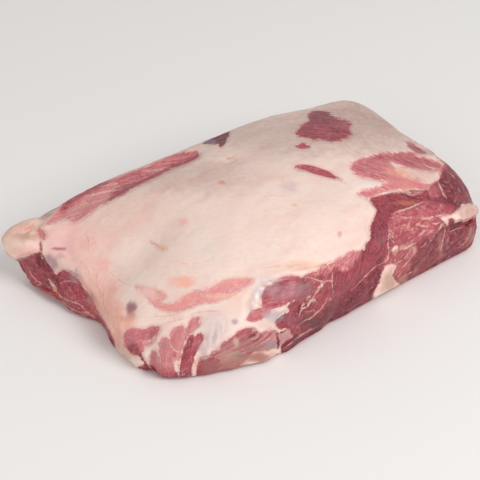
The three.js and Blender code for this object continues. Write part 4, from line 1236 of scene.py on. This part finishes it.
flesh = flesh_map(butt)
lean_share = smooth(*STEP_EDGE, flesh["lean"])
cleft_away = np.maximum(flesh["dark"][:, 3] - CLEFT_FLOOR, 0) / CLEFT_REACH
cleft = np.exp(-cleft_away ** 2) * np.clip(flesh["dark"][:, 2] - CLEFT_FLOOR, 0, 1)
tendon = np.exp(-(flesh["pale"][:, 3] / TENDON_REACH) ** 2) * smooth(*TENDON_WIDTHS, flesh["pale"][:, 2])
along, across = FIBRE_SIZE
fibre = np.array([noise(Vector((a / along, b / across, c))) for a, b, c in flesh["grain"]])
swelling = np.array([fractal(Vector(p) / (SWELLING_SIZE * MM), *SWELLING_DETAIL) for p in flesh["points"]])
pits = np.array([noise(Vector(p) / (PIT_SIZE * MM)) for p in flesh["points"]])
for name, depth, weights in (
    ("step", STEP_MOST, lean_share * np.clip(flesh["step"] / STEP_MOST, 0, 1)),
    ("clefts", CLEFT_DEPTH, cleft),
    ("bellies", BELLY_MOST, np.clip(flesh["belly"] / BELLY_MOST, 0, 1)),
    ("creases", CREASE_MOST, np.clip(flesh["crease"] / CREASE_MOST, 0, 1)),
    ("tendons", TENDON_HEIGHT, (1 - tendon) * lean_share),
    ("fibres", FIBRE_HEIGHT, np.clip(MIDDLE + fibre, 0, 1) * lean_share),
    ("swellings", SWELLING_HEIGHT, np.clip(MIDDLE + SWELLING_SHARE * swelling, 0, 1)),
    ("pits", PIT_DEPTH, np.clip(MIDDLE + pits, 0, 1)),
):
    weigh(butt, name, depth, weights * (1 - (1 - UNDERSIDE_SHARE) * flesh["under"]))
run_modifiers(butt)
butt.vertex_groups.clear()
for vertex in butt.data.vertices:
    vertex.co = [min(max(c, low), high) for c, low, high in zip(vertex.co, *cad_box)]
bpy.ops.object.shade_smooth()

# The flesh map again, on the finished skin, as attributes that the finish reads
flesh = flesh_map(butt)
for name, kind, values in (
    ("lean", "FLOAT", flesh["lean"]),
    ("ragged", "FLOAT", flesh["ragged"]),
    ("grain", "FLOAT_VECTOR", flesh["grain"]),
    ("flesh", "FLOAT_VECTOR", np.stack([flesh["tone"], flesh["film"], flesh["marbling"]], 1)),
    ("pale_line", "FLOAT_COLOR", flesh["pale"]),
    ("dark_line", "FLOAT_COLOR", flesh["dark"]),
    ("vein", "FLOAT_COLOR", flesh["veins"]),
    ("fat_shade", "FLOAT_COLOR", flesh["fat_shades"]),
    ("stain_and_painted_light", "FLOAT_COLOR", flesh["stains_and_painted_light"]),
):
    layer = butt.data.attributes.new(name, kind, "POINT")
    field = {"FLOAT": "value", "FLOAT_VECTOR": "vector", "FLOAT_COLOR": "color"}[kind]
    layer.data.foreach_set(field, np.ascontiguousarray(values, dtype=np.float32).ravel())

# The finish: raw pork, fat cap over lean.
# Fat is firm, creamy pink and slightly see-through. Lean is moist and red, with a grain of short fibres along
# each muscle, threads and flecks of fat between them and a dull sheen of membrane in places.
FAT_COLOUR = "#F7DED2"
FAT_PINK = "#F1C2B5"
THIN_FAT = "#E7A79F"
LEAN_TONES = [
    (0.0, "#F4A7A1"), (0.2, "#DF9290"), (0.4, "#C87177"),
    (0.6, "#AE4C58"), (0.8, "#8E3543"), (1.0, "#561B27"),
]
SEAM_AND_GLINT_COLOUR = "#EDD3C8"
SEAM_ORANGE = "#E3A48D"
VEIN_COLOUR = "#E88F7E"
# The clefts' colour: partly the deep red of the lean in them, partly painted shade, and painted shadow in
# undercuts
CLEFT_RED_AND_SHADE = "#661B26"
FILM_COLOUR = "#D0A8A4"

# Patterns of noise: millimetres each way, then the detail, roughness and distortion
FIBRE_PATTERNS = {  # along and across the fibres
    "bundles": ((22, 1.9, 1), 4.0, 0.65, 0.4),
    "threads": ((3.2, 0.75, 1), 2.0, 0.6, 0.0),
    "marbling": ((13, 5.0, 1), 4.0, 0.6, 0.8),
    "wrinkles": ((8, 1.4, 1), 4.0, 0.6, 0.5),
}
BLOCK_PATTERNS = {  # through the block
    "clouds": ((40, 16, 16), 6.0, 0.62, 0.0),
    "mottle": ((9, 9, 9), 4.0, 0.6, 0.0),
    "patchy": ((3.6, 3.6, 3.6), 3.0, 0.6, 0.0),
    "fine": ((1.25, 1.25, 1.25), 3.0, 0.65, 0.0),
}

# What a full swing of the mottle, patchy and fine patterns adds, and one of the fibres' patterns
EDGE_STRAY = (3.0, 3.75, 2.25)  # millimetres, to the depth in the outline of the lean
TONE_STRAY = (-0.4, -0.3, -0.6)
STAIN_STRAY = (0.0, 0.9, 0.75)
BUNDLES_TO_EDGE = 4.5  # millimetres, where the lean is as ragged as 1
SMOOTH_EDGE = {"From Max": 0.3, "To Min": 0.25}  # an edge that isn't ragged strays less
THREADS_TO_TONE = -0.35
CLOUDS_TO_SHADE = 0.75
PATCHY_TO_SHADE = 0.875
SHADE_USUAL = 0.825
WRINKLES_TO_FAT = 0.15
FAT_USUAL = 0.99

# How what is read becomes a share: from low and high, to low and high
LEAN_EDGE = {"From Min": -0.5, "From Max": 0.5}  # millimetres
THIN_FAT_EDGE = {"From Min": -2.2, "From Max": 0.0, "To Max": 0.45}  # millimetres
BUNDLES_TO_TONE = {"From Max": 1.1, "To Min": -0.2, "To Max": -1.1}  # by how ragged the lean is
PALE_CALM = {"From Max": 0.5, "To Min": 0.4}  # pale lean is streaked less
MARBLE_WIDTH = {"From Min": -0.1, "From Max": 0.15, "To Min": -0.01, "To Max": 0.04}
MARBLE_EDGE = {"From Min": -0.01, "From Max": 0.02}
FLECK_EDGE = {"From Min": 0.14, "From Max": 0.24}
SEAM_TINT_EDGE = {"From Min": -0.1, "From Max": 0.15}
FILM_EDGE = {"From Min": 0.12, "From Max": 0.35, "To Max": 0.6}
CLOUD_EDGE = {"From Min": -0.08, "From Max": 0.28, "To Max": 0.6}
BLUSH_EDGE = {"From Min": 0.0, "From Max": 0.25, "To Max": 0.3}
STAIN_EDGE = {"From Min": -0.1, "From Max": 0.6}
SWING = {"From Min": -0.2, "From Max": 0.2}
GLOSS = {"To Min": 0.5, "To Max": 0.4}  # the roughness of fat, and of lean

# Lines stray by millimetres. Each kind has the millimetres over which it blurs, the shares of its width that
# it thins and swells to, and the share that it fades to.
FAR_STRAY = 2.4
NEAR_STRAY = 1.6
LINE_REACH = 4.0
LINE_LOOKS = {
    "pale_line": (0.35, 0.3, 1.5, 0.55),
    "vein": (0.7, 0.3, 1.5, 0.2),
    "dark_line": (0.4, 0.9, 1.3, 0.7),
}
FINE_TO_GLOSS = 0.4
FINE_RELIEF = 0.45  # of the fine relief, and the rest is fibres and wrinkles
RELIEF_STRENGTH = 0.6
RELIEF_DEPTH = 0.6 * MM
FLESH_IOR = 1.42
MOIST_COAT = 0.08
COAT_ROUGHNESS = 0.25
SEEN_THROUGH = 0.1
SEEN_DEPTH = 2.5 * MM
SEEN_REDNESS = (1.0, 0.45, 0.3)

pork, tree = new_material("raw pork with its fat cap")
coordinates = add(tree, "TexCoord")
place = add(tree, "VectorMath", {0: coordinates.outputs["Object"], "Scale": 1 / MM}, operation="SCALE")
grain_in = add(tree, "Attribute", attribute_name="grain")
lean_in = add(tree, "Attribute", attribute_name="lean")
ragged_in = add(tree, "Attribute", attribute_name="ragged")
flesh_in = add(tree, "Attribute", attribute_name="flesh")
shade_in = add(tree, "Attribute", attribute_name="fat_shade")
stain_and_light_in = add(tree, "Attribute", attribute_name="stain_and_painted_light")
tone, film, marbling = add(tree, "SeparateXYZ", {"Vector": flesh_in.outputs["Vector"]}).outputs

# Each pattern swings about nought, stretched along the fibres or spread through the block
noises, pattern = {}, {}
for source, rows in ((grain_in.outputs["Vector"], FIBRE_PATTERNS), (place, BLOCK_PATTERNS)):
    for name, (size, detail, roughness, distortion) in rows.items():
        scaled = add(tree, "VectorMath", {0: source, 1: size}, operation="DIVIDE")
        noises[name] = add(tree, "TexNoise", {
            "Vector": scaled, "Scale": 1.0,
            "Detail": detail, "Roughness": roughness, "Distortion": distortion,
        })
        pattern[name] = add(tree, "Math", {0: noises[name], 1: MIDDLE}, operation="SUBTRACT")
uneven = add(tree, "CombineXYZ", {0: pattern["mottle"], 1: pattern["patchy"], 2: pattern["fine"]})

# The edge between fat and lean: the outline, uneven by up to a millimetre and run out along the fibres
edge_swing = add(tree, "VectorMath", {0: uneven, 1: EDGE_STRAY}, operation="DOT_PRODUCT")
edge_share = add(tree, "MapRange", {"Value": ragged_in.outputs["Fac"], **SMOOTH_EDGE})
edge_stray = add(tree, "Math", {0: edge_swing, 1: edge_share}, operation="MULTIPLY")
combing = add(tree, "Math", {0: ragged_in.outputs["Fac"], 1: BUNDLES_TO_EDGE}, operation="MULTIPLY")
combed = add(tree, "Math", {0: combing, 1: pattern["bundles"], 2: edge_stray}, operation="MULTIPLY_ADD")
depth = add(tree, "Math", {0: lean_in.outputs["Fac"], 1: combed}, operation="ADD")
is_lean = add(tree, "MapRange", {"Value": depth, **LEAN_EDGE}, interpolation_type="SMOOTHSTEP")
thin_fat = add(tree, "MapRange", {"Value": depth, **THIN_FAT_EDGE}, interpolation_type="SMOOTHSTEP")

# The tone of the lean, streaked by its fibres
tone_stray = add(tree, "VectorMath", {0: uneven, 1: TONE_STRAY}, operation="DOT_PRODUCT")
threaded = add(tree, "Math", {
    0: pattern["threads"], 1: THREADS_TO_TONE, 2: tone_stray,
}, operation="MULTIPLY_ADD")
streaking = add(tree, "MapRange", {"Value": ragged_in.outputs["Fac"], **BUNDLES_TO_TONE})
streaked = add(tree, "Math", {0: pattern["bundles"], 1: streaking, 2: threaded}, operation="MULTIPLY_ADD")
calm = add(tree, "MapRange", {"Value": tone, **PALE_CALM})
tone_here = add(tree, "Math", {0: streaked, 1: calm, 2: tone}, operation="MULTIPLY_ADD")
lean_colour = add(tree, "ValToRGB", {"Fac": tone_here}, stops=LEAN_TONES)

# Fat that runs through the lean, and membrane that dulls it
marble_width = add(tree, "MapRange", {"Value": pattern["patchy"], **MARBLE_WIDTH})
marble_away = add(tree, "Math", {0: pattern["marbling"]}, operation="ABSOLUTE")
marble_depth = add(tree, "Math", {0: marble_width, 1: marble_away}, operation="SUBTRACT")
marble = add(tree, "MapRange", {"Value": marble_depth, **MARBLE_EDGE}, interpolation_type="SMOOTHSTEP")
fleck = add(tree, "MapRange", {"Value": pattern["threads"], **FLECK_EDGE}, interpolation_type="SMOOTHSTEP")
fat_run = add(tree, "Math", {0: marble, 1: fleck}, operation="MAXIMUM")
marble_share = add(tree, "Math", {0: fat_run, 1: marbling}, operation="MULTIPLY")
seam_tint = add(tree, "MapRange", {
    "Value": pattern["mottle"], **SEAM_TINT_EDGE,
}, interpolation_type="SMOOTHSTEP")
seam_and_glint_colour = add(tree, "Mix", {
    "Factor": seam_tint, "A": linear(SEAM_AND_GLINT_COLOUR), "B": linear(SEAM_ORANGE),
}, data_type="RGBA")
film_run = add(tree, "Math", {0: pattern["bundles"], 1: film}, operation="ADD")
film_share = add(tree, "MapRange", {"Value": film_run, **FILM_EDGE}, interpolation_type="SMOOTHSTEP")

# Fat: creamy, with faint pink clouds and its shades, which are partly its own tints and partly painted shade
# and light
cloud_share = add(tree, "MapRange", {
    "Value": pattern["clouds"], **CLOUD_EDGE,
}, interpolation_type="SMOOTHSTEP")
blush_share = add(tree, "MapRange", {
    "Value": pattern["patchy"], **BLUSH_EDGE,
}, interpolation_type="SMOOTHSTEP")
shade_clouded = add(tree, "Math", {
    0: pattern["clouds"], 1: CLOUDS_TO_SHADE, 2: SHADE_USUAL,
}, operation="MULTIPLY_ADD")
shade_uneven = add(tree, "Math", {
    0: pattern["patchy"], 1: PATCHY_TO_SHADE, 2: shade_clouded,
}, operation="MULTIPLY_ADD")
shade_share = add(tree, "Math", {
    0: shade_in.outputs["Alpha"], 1: shade_uneven,
}, operation="MULTIPLY", use_clamp=True)
wrinkled = add(tree, "Math", {
    0: pattern["wrinkles"], 1: WRINKLES_TO_FAT, 2: FAT_USUAL,
}, operation="MULTIPLY_ADD")

# Stains, with the painted shadow and highlights among them, soak into both, with an uneven edge
stain_stray = add(tree, "VectorMath", {0: uneven, 1: STAIN_STRAY}, operation="DOT_PRODUCT")
stain_and_light_sum = add(tree, "Math", {0: stain_and_light_in.outputs["Alpha"], 1: stain_stray}, operation="ADD")
stain_and_light_run = add(tree, "MapRange", {"Value": stain_and_light_sum, **STAIN_EDGE}, interpolation_type="SMOOTHSTEP")
stain_and_light_share = add(tree, "Math", {0: stain_and_light_run, 1: stain_and_light_in.outputs["Alpha"]}, operation="MULTIPLY")

# Seams, veins and clefts wander a little and swell and thin on their way
stray_mean = (FAR_STRAY + NEAR_STRAY) / 2
stray_far = add(tree, "VectorMath", {
    0: noises["patchy"].outputs["Color"], 1: (FAR_STRAY, FAR_STRAY, 0),
}, operation="MULTIPLY")
stray_both = add(tree, "VectorMath", {
    0: noises["fine"].outputs["Color"], 1: (NEAR_STRAY, NEAR_STRAY, 0), 2: stray_far,
}, operation="MULTIPLY_ADD")
stray = add(tree, "VectorMath", {0: stray_both, 1: (stray_mean, stray_mean, 0)}, operation="SUBTRACT")
line_share = {}
for name, (blur, thinnest, thickest, faintest) in LINE_LOOKS.items():
    line = add(tree, "Attribute", attribute_name=name)
    step_x, step_y, half_width = add(tree, "SeparateColor", {"Color": line.outputs["Color"]}).outputs
    step = add(tree, "CombineXYZ", {0: step_x, 1: step_y})
    strayed = add(tree, "VectorMath", {0: step, 1: stray}, operation="ADD")
    away = add(tree, "VectorMath", {0: strayed}, operation="LENGTH")
    swelling = add(tree, "MapRange", {
        "Value": pattern["mottle"], **SWING, "To Min": thinnest, "To Max": thickest,
    })
    width = add(tree, "Math", {0: half_width, 1: swelling}, operation="MULTIPLY")
    past = add(tree, "Math", {0: away, 1: width}, operation="SUBTRACT")
    on_line = add(tree, "MapRange", {
        "Value": past, "From Min": blur, "From Max": -blur,
    }, interpolation_type="SMOOTHSTEP")
    near_line = add(tree, "Math", {0: line.outputs["Alpha"], 1: LINE_REACH}, operation="LESS_THAN")
    shown = add(tree, "Math", {0: on_line, 1: near_line}, operation="MULTIPLY")
    fading = add(tree, "MapRange", {"Value": pattern["patchy"], **SWING, "To Min": faintest})
    line_share[name] = add(tree, "Math", {0: shown, 1: fading}, operation="MULTIPLY")

# The colours, each laid over the one before by its share
lean_finish = lean_colour
for share, colour in ((marble_share, seam_and_glint_colour), (film_share, linear(FILM_COLOUR))):
    lean_finish = add(tree, "Mix", {"Factor": share, "A": lean_finish, "B": colour}, data_type="RGBA")
fat_finish = linear(FAT_COLOUR)
for share, colour in (
    (cloud_share, linear(FAT_PINK)),
    (blush_share, linear(FAT_PINK)),
    (shade_share, shade_in.outputs["Color"]),
):
    fat_finish = add(tree, "Mix", {"Factor": share, "A": fat_finish, "B": colour}, data_type="RGBA")
skin_colour = add(tree, "HueSaturation", {"Color": fat_finish, "Value": wrinkled})
for share, colour in (
    (thin_fat, linear(THIN_FAT)),
    (is_lean, lean_finish),
    (stain_and_light_share, stain_and_light_in.outputs["Color"]),
    # Pale lines: seams and tendons, with painted highlights on some and one painted glint alone
    (line_share["pale_line"], seam_and_glint_colour),
    (line_share["vein"], linear(VEIN_COLOUR)),
    # Dark lines: clefts, partly deep red and partly painted shade, and painted shadow in the undercuts
    (line_share["dark_line"], linear(CLEFT_RED_AND_SHADE)),
):
    skin_colour = add(tree, "Mix", {"Factor": share, "A": skin_colour, "B": colour}, data_type="RGBA")

# Gloss and fine relief
gloss = add(tree, "MapRange", {"Value": is_lean, **GLOSS})
uneven_gloss = add(tree, "Math", {0: pattern["fine"], 1: FINE_TO_GLOSS, 2: gloss}, operation="MULTIPLY_ADD")
fibre_relief = add(tree, "Mix", {"Factor": is_lean, "A": pattern["wrinkles"], "B": pattern["threads"]})
skin_relief = add(tree, "Mix", {"Factor": FINE_RELIEF, "A": fibre_relief, "B": pattern["fine"]})
bump = add(tree, "Bump", {"Height": skin_relief, "Strength": RELIEF_STRENGTH, "Distance": RELIEF_DEPTH})
flesh_shader = add(tree, "BsdfPrincipled", {
    "Base Color": skin_colour, "Roughness": uneven_gloss, "IOR": FLESH_IOR, "Normal": bump,
    "Coat Weight": MOIST_COAT, "Coat Roughness": COAT_ROUGHNESS,
    "Subsurface Weight": SEEN_THROUGH, "Subsurface Scale": SEEN_DEPTH, "Subsurface Radius": SEEN_REDNESS,
})
add(tree, "OutputMaterial", {"Surface": flesh_shader})

butt.data.materials.clear()
butt.data.materials.append(pork)
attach(butt, "root")
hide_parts("boston_butt")
